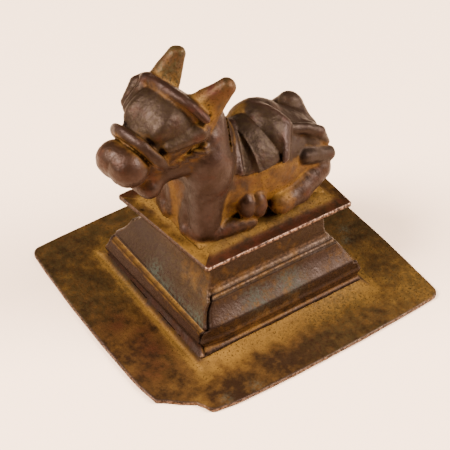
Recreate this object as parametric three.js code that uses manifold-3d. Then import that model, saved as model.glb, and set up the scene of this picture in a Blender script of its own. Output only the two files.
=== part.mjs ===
import * as THREE from "three";
import { mergeVertices } from "three/addons/utils/BufferGeometryUtils.js";
import Module from "manifold-3d";

// A small cast brass bull lying on a moulded plinth with a wide thin base plate.
// One casting. Millimetres, +Z up, the bull faces -Y, its left flank faces +X.
// The origin is at the middle of the plate's underside.

// Base plate, with one broken corner
const PLATE_WIDTH = 79.4;
const PLATE_DEPTH = 86.1;
const PLATE_THICK = 1.2;
const PLATE_CORNER = 3;
const PLATE_BOW = 1.2;
// The broken corner's edge, each point by how far it lies from the plate's side and from its front
const BROKEN_EDGE = [
  [0.3, 21], [0.7, 17.4], [1.1, 14.8], [1.3, 13.2], [1.6, 12], [2.4, 11.1], [3.8, 10.7], [5.9, 9.5],
  [8.1, 6.2], [10.1, 4.1], [12.1, 1.4], [14.1, 1.1], [16.1, 0.8], [20.7, 0.1],
];

// Plinth: heights above the underside of the plate
const LIP_HEIGHT = 3;
const REEDS_TOP_HEIGHT = 6.7;
const BEAD_LOW_HEIGHT = 5.25;
const BEAD_TOP_HEIGHT = 8.8;
const PANEL_FOOT_HEIGHT = 9.5;
const SHOULDER_HEIGHT = 9.9;
const PANEL_TOP_HEIGHT = 15.1;
const NECK_FOOT_HEIGHT = 17.6;
const SLAB_UNDER_HEIGHT = 25.2;

// Plinth: widths run across the bull, depths run along it
const LIP_WIDTH = 48.2;
const LIP_DEPTH = 52.4;
const FOOT_DEPTH = 52.2;
const BEAD_WIDTH = 46.4;
const BEAD_DEPTH = 49.8;
const PANEL_FOOT_WIDTH = 45.8;
const PANEL_FOOT_DEPTH = 47.4;
const PANEL_TOP_WIDTH = 38.4;
const PANEL_TOP_DEPTH = 41.8;
const NECK_WIDTH = 33.4;
const NECK_DEPTH = 35.4;
const GROOVE = 0.7;
const EDGE_ROUND = 0.8;
const MIDDLE_X = -0.5;
const PLINTH_MIDDLE_Y = 0.7;
// How far the front's left end lies behind its right end, at some heights
const PLINTH_SKEW = [[2.4, 0], [5.4, 1.8], [9.5, 0.2], [10, 0]];

// Cove by which the plate rises to the plinth's foot
const COVE_HEIGHT = 1.2;
const COVE_REACH_SIDE = 5.8;
const COVE_REACH_FRONT = 2.2;
const COVE_DEPTH_FRONT = 0.9;

// Slab on top of the neck, its front edge cut askew
const SLAB_WIDTH = 36.8;
const SLAB_DEPTH = 50.4;
const SLAB_THICK = 1.4;
const SLAB_FRONT_SKEW = 4;
const SLAB_BACK_SKEW = 1.2;
const SLAB_MIDDLE_Y = 1.7;
const MOUND_HEIGHT = 1.05;

// Hollow under the plinth
const WALL = 2.4;
const ROOF = 3.2;
const HOLLOW_TURN_HEIGHT = 8.9;

// The bull, measured from the slab's top to the tips of the horns
const BULL_HEIGHT = 46.8;
const BULL_SUNK = 0.6;

// Fineness of the surfaces
const CORNER_STEPS = 2;
const SLOPE_STEPS = 4;
const FINE_CELL = 0.75;
const COARSE_CELL = 0.85;
const BULL_TRIANGLES = 8300;

const SLAB_TOP = SLAB_UNDER_HEIGHT + SLAB_THICK;

const wasm = await Module();
wasm.setup();

// Closed geometry to solid and back
function toSolid(geometry) {
  geometry.deleteAttribute("normal");
  geometry.deleteAttribute("uv");
  const merged = mergeVertices(geometry);
  const mesh = new wasm.Mesh({
    numProp: 3,
    vertProperties: merged.attributes.position.array,
    triVerts: merged.index.array,
  });
  return new wasm.Manifold(mesh);
}

function toGeometry(solid) {
  const { vertProperties, triVerts } = solid.getMesh();
  const geometry = new THREE.BufferGeometry();
  geometry.setAttribute("position", new THREE.BufferAttribute(vertProperties, 3));
  geometry.setIndex(new THREE.BufferAttribute(triVerts, 1));
  geometry.computeVertexNormals();
  return geometry;
}

function fromFaces(points, faces) {
  const geometry = new THREE.BufferGeometry();
  geometry.setAttribute("position", new THREE.Float32BufferAttribute(points.flat(), 3));
  geometry.setIndex(faces.flat());
  return geometry;
}

// Plate: an outline with bowed sides and rounded corners
function plateOutline() {
  const reachX = PLATE_WIDTH / 2;
  const reachY = PLATE_DEPTH / 2;
  const cornerX = reachX - PLATE_BOW;
  const cornerY = reachY - PLATE_BOW;
  const shape = new THREE.Shape();
  shape.moveTo(cornerX, PLATE_CORNER - cornerY);
  shape.quadraticCurveTo(reachX + PLATE_BOW, 0, cornerX, cornerY - PLATE_CORNER);
  shape.quadraticCurveTo(cornerX, cornerY, cornerX - PLATE_CORNER, cornerY);
  shape.quadraticCurveTo(0, reachY + PLATE_BOW, PLATE_CORNER - cornerX, cornerY);
  shape.quadraticCurveTo(-cornerX, cornerY, -cornerX, cornerY - PLATE_CORNER);
  shape.quadraticCurveTo(-reachX - PLATE_BOW, 0, -cornerX, PLATE_CORNER - cornerY);
  shape.quadraticCurveTo(-cornerX, -cornerY, PLATE_CORNER - cornerX, -cornerY);
  shape.quadraticCurveTo(0, -reachY - PLATE_BOW, cornerX - PLATE_CORNER, -cornerY);
  shape.quadraticCurveTo(cornerX, -cornerY, cornerX, PLATE_CORNER - cornerY);
  return shape;
}

// The broken corner: everything outside the ragged line across it
function breakOutline() {
  const points = BROKEN_EDGE.map(
    ([fromSide, fromFront]) =>
      new THREE.Vector2(PLATE_WIDTH / 2 - fromSide, fromFront - PLATE_DEPTH / 2),
  );
  points.push(new THREE.Vector2(points.at(-1).x, -PLATE_DEPTH));
  points.push(new THREE.Vector2(PLATE_WIDTH, -PLATE_DEPTH));
  points.push(new THREE.Vector2(PLATE_WIDTH, points[0].y));
  return new THREE.Shape(points);
}

function plate() {
  const sheet = new THREE.ExtrudeGeometry(plateOutline(), {
    depth: PLATE_THICK,
    bevelEnabled: false,
    curveSegments: 6,
  });
  const away = new THREE.ExtrudeGeometry(breakOutline(), {
    depth: PLATE_THICK * 3,
    bevelEnabled: false,
  });
  away.translate(0, 0, -PLATE_THICK);
  return toSolid(sheet).subtract(toSolid(away));
}

// One level of the plinth: a rectangle with rounded corners, anticlockwise from above
function levelRing(halfX, halfY, z) {
  const points = [];
  for (const [signX, signY, turn] of [[1, 1, 0], [-1, 1, 1], [-1, -1, 2], [1, -1, 3]]) {
    for (let i = 0; i <= CORNER_STEPS; i++) {
      const angle = (turn + i / CORNER_STEPS) * Math.PI / 2;
      const x = signX * (halfX - EDGE_ROUND) + EDGE_ROUND * Math.cos(angle);
      const y = signY * (halfY - EDGE_ROUND) + EDGE_ROUND * Math.sin(angle);
      points.push([x, y, z]);
    }
  }
  return points;
}

// A closed stack of rings, from the lowest to the highest
function stack(rings) {
  const count = rings[0].length;
  const points = rings.flat();
  const faces = [];
  for (let level = 0; level + 1 < rings.length; level++) {
    for (let i = 0; i < count; i++) {
      const j = (i + 1) % count;
      const low = level * count;
      const high = low + count;
      faces.push([low + i, low + j, high + j], [low + i, high + j, high + i]);
    }
  }
  const last = (rings.length - 1) * count;
  for (let i = 1; i + 1 < count; i++) {
    faces.push([0, i + 1, i], [last, last + i, last + i + 1]);
  }
  return toSolid(fromFaces(points, faces));
}

// How far a profile of heights and reaches comes out at a height
function reachAt(profile, z) {
  const after = profile.findIndex(([height]) => height >= z);
  const [highZ, highReach] = profile[Math.max(after, 1)];
  const [lowZ, lowReach] = profile[Math.max(after, 1) - 1];
  const share = THREE.MathUtils.clamp((z - lowZ) / (highZ - lowZ), 0, 1);
  return after < 0 ? profile.at(-1)[1] : THREE.MathUtils.lerp(lowReach, highReach, share);
}

// Mouldings of the plinth. The long sides have a lip, two reeds, an upright band and a
// hollow slope under two fillets; the front and back have a hollow over the foot, a bead that
// stands out over it and leans in, and a straight panel that sweeps up into the neck.
function plinthLevels() {
  const lipX = LIP_WIDTH / 2;
  const lipY = LIP_DEPTH / 2;
  const beadX = BEAD_WIDTH / 2;
  const beadY = BEAD_DEPTH / 2;
  const lowX = PANEL_FOOT_WIDTH / 2;
  const lowY = PANEL_FOOT_DEPTH / 2;
  const highX = PANEL_TOP_WIDTH / 2;
  const highY = PANEL_TOP_DEPTH / 2;
  const neckX = NECK_WIDTH / 2;
  const neckY = NECK_DEPTH / 2;
  const reed = GROOVE / 2;
  const footX = lipX - reed;
  const footY = FOOT_DEPTH / 2;
  const side = [[PLATE_THICK / 2, footX + COVE_REACH_SIDE]];
  const front = [[PLATE_THICK / 2, footY + COVE_REACH_FRONT]];
  for (const share of [1, 0.6, 0.25, 0]) {
    const z = PLATE_THICK + COVE_HEIGHT * (1 - share) ** 2.2;
    side.push([z, footX + share * COVE_REACH_SIDE]);
    front.push([z, footY + share * COVE_REACH_FRONT]);
  }
  side.push([LIP_HEIGHT - 0.1, lipX], [LIP_HEIGHT + 0.4, lipX]);
  for (const [share, out] of [[0.24, -0.2], [0.38, 0.4], [0.54, -0.1], [0.7, 0.4], [0.85, 0]]) {
    side.push([THREE.MathUtils.lerp(LIP_HEIGHT, REEDS_TOP_HEIGHT, share), beadX + out * reed]);
  }
  side.push([REEDS_TOP_HEIGHT, lowX], [SHOULDER_HEIGHT, lowX]);
  for (let i = 1; i <= SLOPE_STEPS; i++) {
    const t = i / SLOPE_STEPS;
    const halfX = highX + (lowX - highX) * (1 - t) ** 1.6;
    side.push([THREE.MathUtils.lerp(SHOULDER_HEIGHT, PANEL_TOP_HEIGHT, t), halfX]);
  }
  front.push([BEAD_LOW_HEIGHT - 1.6, footY - COVE_DEPTH_FRONT]);
  front.push([BEAD_LOW_HEIGHT - 0.3, footY - COVE_DEPTH_FRONT]);
  front.push([BEAD_LOW_HEIGHT, lipY - 0.1], [BEAD_LOW_HEIGHT + 0.5, lipY]);
  front.push([BEAD_TOP_HEIGHT, beadY], [BEAD_TOP_HEIGHT + 0.3, lowY - GROOVE / 2]);
  front.push([PANEL_FOOT_HEIGHT, lowY], [PANEL_TOP_HEIGHT, highY]);
  const step = NECK_FOOT_HEIGHT - PANEL_TOP_HEIGHT;
  const midX = highX - 1.6 * GROOVE;
  for (const [share, halfX] of [[0.15, highX], [0.25, midX], [0.5, midX], [0.62, neckX + 0.5],
    [1, neckX], [2, neckX]]) {
    const z = PANEL_TOP_HEIGHT + share * step;
    side.push([z, halfX]);
    front.push([z, neckY + (highY - neckY) * (1 - share / 2) ** 2]);
  }
  for (const [z, out] of [[SLAB_UNDER_HEIGHT - GROOVE, 0], [SLAB_UNDER_HEIGHT, GROOVE],
    [SLAB_UNDER_HEIGHT + SLAB_THICK / 2, GROOVE]]) {
    side.push([z, neckX + out]);
    front.push([z, neckY + out]);
  }
  const heights = [...new Set([...side, ...front].map(([z]) => z))].sort((a, b) => a - b);
  return heights.map((z) => [z, reachAt(side, z), reachAt(front, z), reachAt(PLINTH_SKEW, z)]);
}

// The hollow follows the mouldings one wall further in and opens through the plate
function hollowLevels() {
  const mouthX = PANEL_FOOT_WIDTH / 2 - GROOVE - WALL;
  const mouthY = PANEL_FOOT_DEPTH / 2 - WALL;
  const neckX = NECK_WIDTH / 2 - WALL;
  const neckY = NECK_DEPTH / 2 - WALL;
  return [
    [-PLATE_THICK, mouthX, mouthY, 0],
    [HOLLOW_TURN_HEIGHT, mouthX, mouthY, 0],
    [PANEL_TOP_HEIGHT, neckX + GROOVE, PANEL_TOP_DEPTH / 2 - WALL, 0],
    [NECK_FOOT_HEIGHT, neckX, neckY, 0],
    [SLAB_UNDER_HEIGHT - ROOF, neckX, neckY, 0],
  ];
}

// Levels stacked up, the front of each turned askew by its own amount
function mouldings(levels) {
  const rings = levels.map(([z, halfX, halfY, skew]) => levelRing(halfX, halfY, z).map(([x, y]) => {
    const toFront = (1 - y / halfY) / 2;
    return [x, y + toFront * skew * x / (2 * halfX), z];
  }));
  return stack(rings);
}

// One level of the slab, its front and back edges cut askew
function slabRing(inset, z) {
  const halfX = SLAB_WIDTH / 2 - inset;
  const halfY = SLAB_DEPTH / 2 - inset;
  return levelRing(halfX, halfY, z).map(([x, y]) => {
    const toLeft = (1 + x / halfX) / 2;
    const toFront = (1 - y / halfY) / 2;
    const skew = toFront * SLAB_FRONT_SKEW - (1 - toFront) * SLAB_BACK_SKEW;
    return [x, y + toLeft * skew, z];
  });
}

// The slab's top rises to a low mound under the bull
function slab() {
  const lip = SLAB_THICK / 4;
  const top = [[2.4, 0], [3.8, 0.3], [4.8, 0.65], [6.6, 1]];
  return stack([
    slabRing(lip, SLAB_UNDER_HEIGHT),
    slabRing(0, SLAB_UNDER_HEIGHT + lip),
    slabRing(0, SLAB_TOP - lip),
    slabRing(lip, SLAB_TOP),
    ...top.map(([inset, share]) => slabRing(inset, SLAB_TOP + share * MOUND_HEIGHT)),
  ]);
}

// The bull is carved as a distance field: below zero inside, above zero outside.
// Its numbers are units of which BULL_UNITS go to its height, from the slab upwards.
const BULL_UNITS = 46.8;

function ellipsoid([x, y, z], [cx, cy, cz], [rx, ry, rz]) {
  const ax = (x - cx) / rx;
  const ay = (y - cy) / ry;
  const az = (z - cz) / rz;
  const reach = Math.hypot(ax, ay, az);
  const slope = Math.hypot(ax / rx, ay / ry, az / rz);
  return slope > 0 ? reach * (reach - 1) / slope : -Math.min(rx, ry, rz);
}

// A rounded rod whose radius runs evenly from ra to rb
function limb([x, y, z], [ax, ay, az], [bx, by, bz], ra, rb) {
  const dx = bx - ax;
  const dy = by - ay;
  const dz = bz - az;
  const along = ((x - ax) * dx + (y - ay) * dy + (z - az) * dz) / (dx * dx + dy * dy + dz * dz);
  const t = Math.min(Math.max(along, 0), 1);
  return Math.hypot(x - ax - t * dx, y - ay - t * dy, z - az - t * dz) - ra - (rb - ra) * t;
}

function block([x, y, z], [cx, cy, cz], [hx, hy, hz], round) {
  const qx = Math.abs(x - cx) - hx + round;
  const qy = Math.abs(y - cy) - hy + round;
  const qz = Math.abs(z - cz) - hz + round;
  const outside = Math.hypot(Math.max(qx, 0), Math.max(qy, 0), Math.max(qz, 0));
  return outside + Math.min(Math.max(qx, qy, qz), 0) - round;
}

// Soft union and soft overlap; soft is the width of the fillet between the two
function blend(a, b, soft) {
  const h = Math.max(soft - Math.abs(a - b), 0);
  return Math.min(a, b) - h * h / (4 * soft);
}
const common = (a, b, soft) => -blend(-a, -b, soft);

const mirrored = ([x, y, z]) => [Math.abs(x), y, z];
const bump = (distance, reach) => Math.exp(-((distance / reach) ** 2));

// Turns the first of two numbers towards the second
function turned([a, b], degrees) {
  const c = Math.cos(degrees * Math.PI / 180);
  const s = Math.sin(degrees * Math.PI / 180);
  return [c * a + s * b, c * b - s * a];
}

function route(p, points, radii) {
  let nearest = Infinity;
  for (let i = 0; i + 1 < points.length; i++) {
    nearest = Math.min(nearest, limb(p, points[i], points[i + 1], radii[i], radii[i + 1]));
  }
  return nearest;
}

// The head's own frame: across, down the face from the brow, out of the face
function headFrame([x, y, z]) {
  const [aside, ahead] = turned([x - 0.7, y + 19.8], 9.8);
  const [down, out] = turned([ahead, z - 44.1], 30.8);
  const [level, across] = turned([out, aside], 4.9);
  return [across, -down, level];
}

// The head looks down and a little to its left, with a brow roll, bulging eyes,
// drooping ears, a nose band, a heavy jaw and a round muzzle
function head(p) {
  const r = headFrame(p);
  const s = mirrored(r);
  const [, v, w] = r;
  const skull = ellipsoid(r, [0, 7, -8.2], [8.8, 8.8, 8.4]);
  const forehead = ellipsoid(r, [-0.4, 5.6, -5.7], [8.4, 6.4, 5.7]);
  let form = blend(skull, forehead, 2);
  form = blend(form, limb(r, [0, 6.4, -8.3], [0, 16, -7], 7.6, 5.6), 3);
  form = blend(form, limb(r, [0, 3.4, -12.5], [1, 15, -12.2], 5.4, 4.8), 3);
  form = blend(form, limb(r, [0, 3.2, -13.5], [0, 4, -17], 5.6, 6.4), 3);
  form = blend(form, ellipsoid(s, [4.3, 8.2, -2.1], [2.4, 4.3, 2.4]), 1);
  const browShell = ellipsoid(r, [0, 3.5, -7.2], [12.8, 12.4, 8.2]);
  const brow = common(common(Math.abs(v - 0.6) - 1.3, browShell, 1.5), -w - 5.6, 1.5);
  form = blend(form, brow, 1.6);
  const browEnd = limb(r, [-7.9, 1, -2.6], [-7.4, 9, -3.2], 1.5, 1.4);
  form = blend(form, browEnd, 1);
  const ball = ellipsoid(r, [0.4, 20, -5], [6.3, 4.6, 4.9]);
  const nostril = ellipsoid(s, [2.7, 20.9, -4.8], [3.5, 3.8, 4.3]);
  form = blend(form, blend(ball, nostril, 2.5), 0.8);
  const bandShell = ellipsoid(r, [0, 11, -6.6], [9.3, 14, 7.7]);
  const noseBand = common(common(Math.abs(v - 15) - 1.4, bandShell, 1.5), -w - 10, 1.5);
  form = blend(form, noseBand, 0.8);
  const jaw = [[7.6, 5, -15], [5, 10, -16], [3, 14, -15], [2.4, 18.6, -14.6]];
  form = blend(form, route(s, jaw, [3.2, 4.4, 4.2, 3.2]), 1.5);
  const chin = limb(r, [-2.6, 19.9, -15], [3.4, 19.9, -15.2], 3.1, 3.2);
  form = blend(form, chin, 1);
  const ear = limb(r, [9.2, 3.4, -8.4], [7.4, 11, -4.8], 2.4, 1.4);
  form = blend(form, ear, 0.8);
  const farEar = limb(r, [-10.4, 2.8, -5], [-9.4, 7.6, -4.8], 2.4, 1.9);
  form = blend(form, farEar, 0.6);
  const cheekStrap = limb(s, [5.2, 15.3, -11.6], [10.6, 5.7, -12.6], 1, 1);
  return blend(form, cheekStrap, 0.6);
}

// Each horn is two rods that lean together, so its foot is broad and flat, and
// its tip is cut level
function horns(p) {
  const right = blend(
    limb(p, [-7.9, -18.1, 38.4], [-8.8, -12.3, 45.2], 3.5, 1.8),
    limb(p, [-6, -16.2, 36.6], [-8, -11.3, 45.4], 2.5, 1.4),
    1.5,
  );
  const left = blend(
    limb(p, [4.4, -15.8, 37.8], [8.6, -9.2, 44.8], 3.6, 1.9),
    limb(p, [6.4, -13.6, 36], [9, -8.9, 44.3], 3, 1.7),
    1.5,
  );
  return common(Math.min(right, left), p[2] - BULL_UNITS, 0.4);
}

function trunk(p) {
  const middle = ellipsoid(p, [0.4, 5, 12.4], [12, 14.4, 13.2]);
  return blend(middle, limb(p, [0, -4, 12], [0, 13.4, 10.8], 11, 10.8), 3);
}

// How far forward the cloth reaches, less over the back's middle than at the sides
function clothFront(x) {
  const across = Math.abs(x);
  const crown = THREE.MathUtils.smoothstep(1 - across / 6, 0, 1);
  return -4.6 - 0.35 * THREE.MathUtils.clamp(across - 5, 0, 9) + 2.2 * crown;
}

// Saddle cloth: a layer over the back with two hanging folds, between two rolled borders
function saddleCloth([x, y, z], back) {
  const front = clothFront(x);
  const shoulder = 0.8 * THREE.MathUtils.clamp(Math.abs(x) - 7, 0, 9);
  const rear = 10.6 - shoulder - 0.5 * THREE.MathUtils.clamp(6.3 - x, 0, 11);
  const firstFold = -2.4 + 0.05 * (25 - z);
  const secondFold = 3.1 + 0.42 * (25 - z);
  const behind = y - secondFold;
  const falling = -behind / (secondFold - firstFold);
  const step = THREE.MathUtils.smoothstep((y - firstFold) * 3, 0, 1);
  const rise = THREE.MathUtils.clamp(0.7 * step * (behind < 0 ? falling : 0.45 * behind), 0, 1);
  const folds = rise + 0.35 * bump(y - firstFold, 0.4) - 0.3 * bump(behind, 0.5);
  const hem = 17.8 + 0.12 * y + 0.7 * THREE.MathUtils.clamp(-4.4 - y, 0, 3);
  const between = Math.max(front - y, y - rear);
  const layer = common(common(back - 1.1 - folds, between, 0.6), hem - z, 0.5);
  const rearRoll = common(common(Math.abs(y - rear) - 1.2, back - 2.1, 0.9), hem - 0.4 - z, 0.8);
  const frontRoll = common(common(Math.abs(y - front) - 1.2, back - 2.3, 0.9), hem - 0.4 - z, 0.8);
  return blend(blend(layer, rearRoll, 0.6), frontRoll, 0.6);
}

function forelegs(s) {
  const shin = limb(s, [7.2, -13.8, 24], [8, -15.4, 3.5], 4.7, 3.6);
  const calf = limb(s, [7, -11.4, 22], [7.6, -15, 4], 4.6, 2.6);
  const shoulder = limb(s, [5.6, -12.8, 29], [7.4, -13.4, 20], 4.4, 4.9);
  const innerEdge = limb(s, [4.6, -16.4, 14], [3, -17, 2.5], 1.8, 2.2);
  return blend(blend(blend(shin, calf, 2), shoulder, 3), innerEdge, 1);
}

// The forelegs are folded under: an arm along the slab and a cloven hoof turned up
function foldedForefeet(s) {
  const arm = limb(s, [9.4, -13.5, 1.8], [11.6, -4, 2.4], 2.6, 2.2);
  const knee = limb(s, [4.4, -18.2, 1.8], [8, -16, 2], 2, 3);
  const hoofFront = ellipsoid(s, [11, -4.6, 7.6], [2.7, 2.5, 3.9]);
  const hoofBack = ellipsoid(s, [11.5, -1.7, 7], [3, 2.6, 4.1]);
  return blend(blend(arm, knee, 0.8), blend(hoofFront, hoofBack, 0.3), 0.6);
}

function hindLegs(s) {
  const thigh = limb(s, [9, 18.6, 8.2], [11.2, 11.4, 5.4], 4, 3.4);
  const foot = limb(s, [11.2, 11.4, 5.4], [12.2, 5.2, 4.9], 3.4, 3.3);
  return blend(thigh, foot, 1);
}

// The rump: two hip knobs and the roll between them
function hips(p) {
  const right = limb(p, [-5.8, 20.2, 18.8], [-8.2, 18.4, 13.4], 3.1, 4.6);
  const left = limb(p, [6.4, 17.8, 18], [7.4, 17.6, 12], 2.8, 4.2);
  const rump = limb(p, [-5, 21, 17.4], [1.4, 20.4, 15], 3, 2.9);
  return [right, left, rump];
}

function bull(p) {
  const [x, y, z] = p;
  const s = mirrored(p);
  const hollow = 3.8 * bump(Math.hypot(x + 7.4, y - 1.2, z - 21.6), 6);
  const back = trunk(p) + hollow;
  const hump = ellipsoid(p, [-2, 6.4, 17.6], [7.2, 8.6, 9.6]);
  const neck = limb(p, [0, -12.8, 28.6], [0, -7.7, 14], 8.2, 9.7);
  const chest = limb(p, [0, -11.4, 20], [0, -12, 2], 6.4, 6.2);
  const belly = block(p, [0, 2.5, 3], [9.6, 17, 4.4], 2.5);
  let form = blend(blend(blend(blend(back, hump, 2), neck, 4), chest, 3), belly, 2.5);
  for (const hip of hips(p)) {
    form = blend(form, hip, 2);
  }
  form = blend(form, forelegs(s), 2.5);
  // A narrow gap parts the neck from the cloth's front border
  const aheadOfCloth = Math.abs(y - clothFront(x) + 1.7) - 0.35;
  const gap = Math.max(aheadOfCloth, -0.6 - form, 25 - z);
  form = common(form, -gap, 0.3);
  form = blend(form, saddleCloth(p, back), 0.5);
  const crupper = [[6, 10.4, 22.2], [7.4, 15.8, 20.8], [8.4, 19.7, 18.6], [8.6, 21.4, 15]];
  form = blend(form, route(p, crupper, [1.6, 1.6, 1.6, 1.3]), 0.6);
  const farCrupper = [[-5, 7, 22], [-7.4, 15, 19.4], [-8.6, 19, 16.6], [-9, 21, 14]];
  form = blend(form, route(p, farCrupper, [1.4, 1.4, 1.4, 1.2]), 1);
  form = blend(form, foldedForefeet(s), 0.7);
  form = blend(form, hindLegs(s), 1);
  const tailTuft = limb(p, [10.8, 13.4, 15], [9.6, 21.8, 11.6], 1.9, 2.1);
  form = blend(form, tailTuft, 0.8);
  form = blend(form, head(p), 1.5);
  form = blend(form, horns(p), 1.2);
  const pad = block(p, [0, 0.6, 0], [11.8, 19.8, 0.9], 0.8);
  form = blend(form, pad, 1.6);
  return Math.max(form, -BULL_SUNK - z);
}

// Places along one axis: finer cells on one side of a mark than on the other
function places(from, mark, to, cellBefore, cellAfter) {
  const list = [];
  const before = Math.round((mark - from) / cellBefore);
  const after = Math.round((to - mark) / cellAfter);
  for (let i = 0; i < before; i++) list.push(from + i * (mark - from) / before);
  for (let i = 0; i <= after; i++) list.push(mark + i * (to - mark) / after);
  return list;
}

// Closes pinches: where the inside corners of a grid face lie across from each other,
// its outside corners are taken in too
function closePinches(values, [nx, ny, nz]) {
  const side = [ny * nz, nz, 1];
  const room = [nx, ny, nz];
  const film = -0.05;
  let changed = true;
  while (changed) {
    changed = false;
    for (let here = 0; here < values.length; here++) {
      const place = [Math.floor(here / side[0]), Math.floor(here / nz) % ny, here % nz];
      for (let axis = 0; axis < 3; axis++) {
        const other = (axis + 1) % 3;
        if (place[axis] + 1 >= room[axis] || place[other] + 1 >= room[other]) continue;
        const ring = [here, here + side[axis], here + side[axis] + side[other], here + side[other]];
        const [a, b, c, d] = ring.map((n) => values[n] < 0);
        if (a !== c || b !== d || a === b) continue;
        for (const n of ring) values[n] = Math.min(values[n], film);
        changed = true;
      }
    }
  }
}

// Skin of a field: one point in each cell that the surface crosses, at the middle of
// its crossings, and one four-sided face round each grid edge that it crosses
function skin(field, xs, ys, zs) {
  const [nx, ny, nz] = [xs.length, ys.length, zs.length];
  const at = (i, j, k) => (i * ny + j) * nz + k;
  const values = new Float64Array(nx * ny * nz);
  for (let i = 0; i < nx; i++) {
    for (let j = 0; j < ny; j++) {
      for (let k = 0; k < nz; k++) values[at(i, j, k)] = field([xs[i], ys[j], zs[k]]);
    }
  }
  closePinches(values, [nx, ny, nz]);
  const corners = [];
  for (let n = 0; n < 8; n++) corners.push([n & 1, (n >> 1) & 1, (n >> 2) & 1]);
  const points = [];
  const pointOf = new Map();
  for (let i = 0; i + 1 < nx; i++) {
    for (let j = 0; j + 1 < ny; j++) {
      for (let k = 0; k + 1 < nz; k++) {
        const sum = [0, 0, 0];
        let crossings = 0;
        for (let n = 0; n < 8; n++) {
          const [a, b, c] = corners[n];
          const here = values[at(i + a, j + b, k + c)];
          for (let axis = 0; axis < 3; axis++) {
            if (corners[n][axis]) continue;
            const [d, e, f] = corners[n | (1 << axis)];
            const there = values[at(i + d, j + e, k + f)];
            if ((here < 0) === (there < 0)) continue;
            const t = here / (here - there);
            sum[0] += xs[i + a] + t * (xs[i + d] - xs[i + a]);
            sum[1] += ys[j + b] + t * (ys[j + e] - ys[j + b]);
            sum[2] += zs[k + c] + t * (zs[k + f] - zs[k + c]);
            crossings++;
          }
        }
        if (crossings === 0) continue;
        pointOf.set(at(i, j, k), points.length);
        points.push(sum.map((value) => value / crossings));
      }
    }
  }
  const faces = [];
  const side = [ny * nz, nz, 1];
  for (let i = 1; i + 1 < nx; i++) {
    for (let j = 1; j + 1 < ny; j++) {
      for (let k = 1; k + 1 < nz; k++) {
        const here = at(i, j, k);
        for (let axis = 0; axis < 3; axis++) {
          const inside = values[here] < 0;
          if (inside === values[here + side[axis]] < 0) continue;
          const u = side[(axis + 1) % 3];
          const v = side[(axis + 2) % 3];
          const ring = [here - u - v, here - v, here, here - u].map((cell) => pointOf.get(cell));
          if (!inside) ring.reverse();
          const [p, q, r, s] = ring.map((n) => new THREE.Vector3(...points[n]));
          const [a, b, c, d] = ring;
          if (p.distanceTo(r) <= q.distanceTo(s)) faces.push([a, b, c], [a, c, d]);
          else faces.push([b, c, d], [b, d, a]);
        }
      }
    }
  }
  return { points, faces };
}

// How far a place lies from a set of planes: the sum of squared distances, kept as
// the ten numbers of a quadratic form
function planeForm(points, [a, b, c]) {
  const corner = new THREE.Vector3(...points[a]);
  const edge = new THREE.Vector3(...points[b]).sub(corner);
  const normal = edge.cross(new THREE.Vector3(...points[c]).sub(corner));
  const area = normal.length() / 2;
  const { x, y, z } = normal.normalize();
  const d = -normal.dot(corner);
  const form = [x * x, x * y, x * z, y * y, y * z, z * z, x * d, y * d, z * d, d * d];
  return form.map((value) => value * area);
}

function formAt(q, [x, y, z]) {
  const square = q[0] * x * x + q[3] * y * y + q[5] * z * z;
  const mixed = q[1] * x * y + q[2] * x * z + q[4] * y * z;
  return square + 2 * (mixed + q[6] * x + q[7] * y + q[8] * z) + q[9];
}

// The place that an edge shrinks to: where the form is least, or one of its own points
function shrinkPlace(q, start, end) {
  const middle = start.map((value, i) => (value + end[i]) / 2);
  const matrix = new THREE.Matrix3().set(q[0], q[1], q[2], q[1], q[3], q[4], q[2], q[4], q[5]);
  const choices = [start, end, middle];
  const scale = q[0] + q[3] + q[5];
  if (Math.abs(matrix.determinant()) > 1e-4 * scale * scale * scale) {
    const least = new THREE.Vector3(-q[6], -q[7], -q[8]).applyMatrix3(matrix.invert());
    const reach = Math.hypot(...start.map((value, i) => end[i] - value));
    if (least.distanceTo(new THREE.Vector3(...middle)) < reach) choices.push(least.toArray());
  }
  return choices.reduce((best, next) => (formAt(q, next) < formAt(q, best) ? next : best));
}

// A queue that gives back its cheapest entry first
class Queue {
  entries = [];

  add(entry) {
    const list = this.entries;
    let i = list.push(entry) - 1;
    while (i > 0) {
      const above = (i - 1) >> 1;
      if (list[above].cost <= list[i].cost) break;
      [list[above], list[i]] = [list[i], list[above]];
      i = above;
    }
  }

  take() {
    const list = this.entries;
    const first = list[0];
    const last = list.pop();
    if (list.length === 0) return first;
    list[0] = last;
    let i = 0;
    for (;;) {
      let least = i;
      for (const below of [2 * i + 1, 2 * i + 2]) {
        if (below < list.length && list[below].cost < list[least].cost) least = below;
      }
      if (least === i) return first;
      [list[least], list[i]] = [list[i], list[least]];
      i = least;
    }
  }
}

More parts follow.
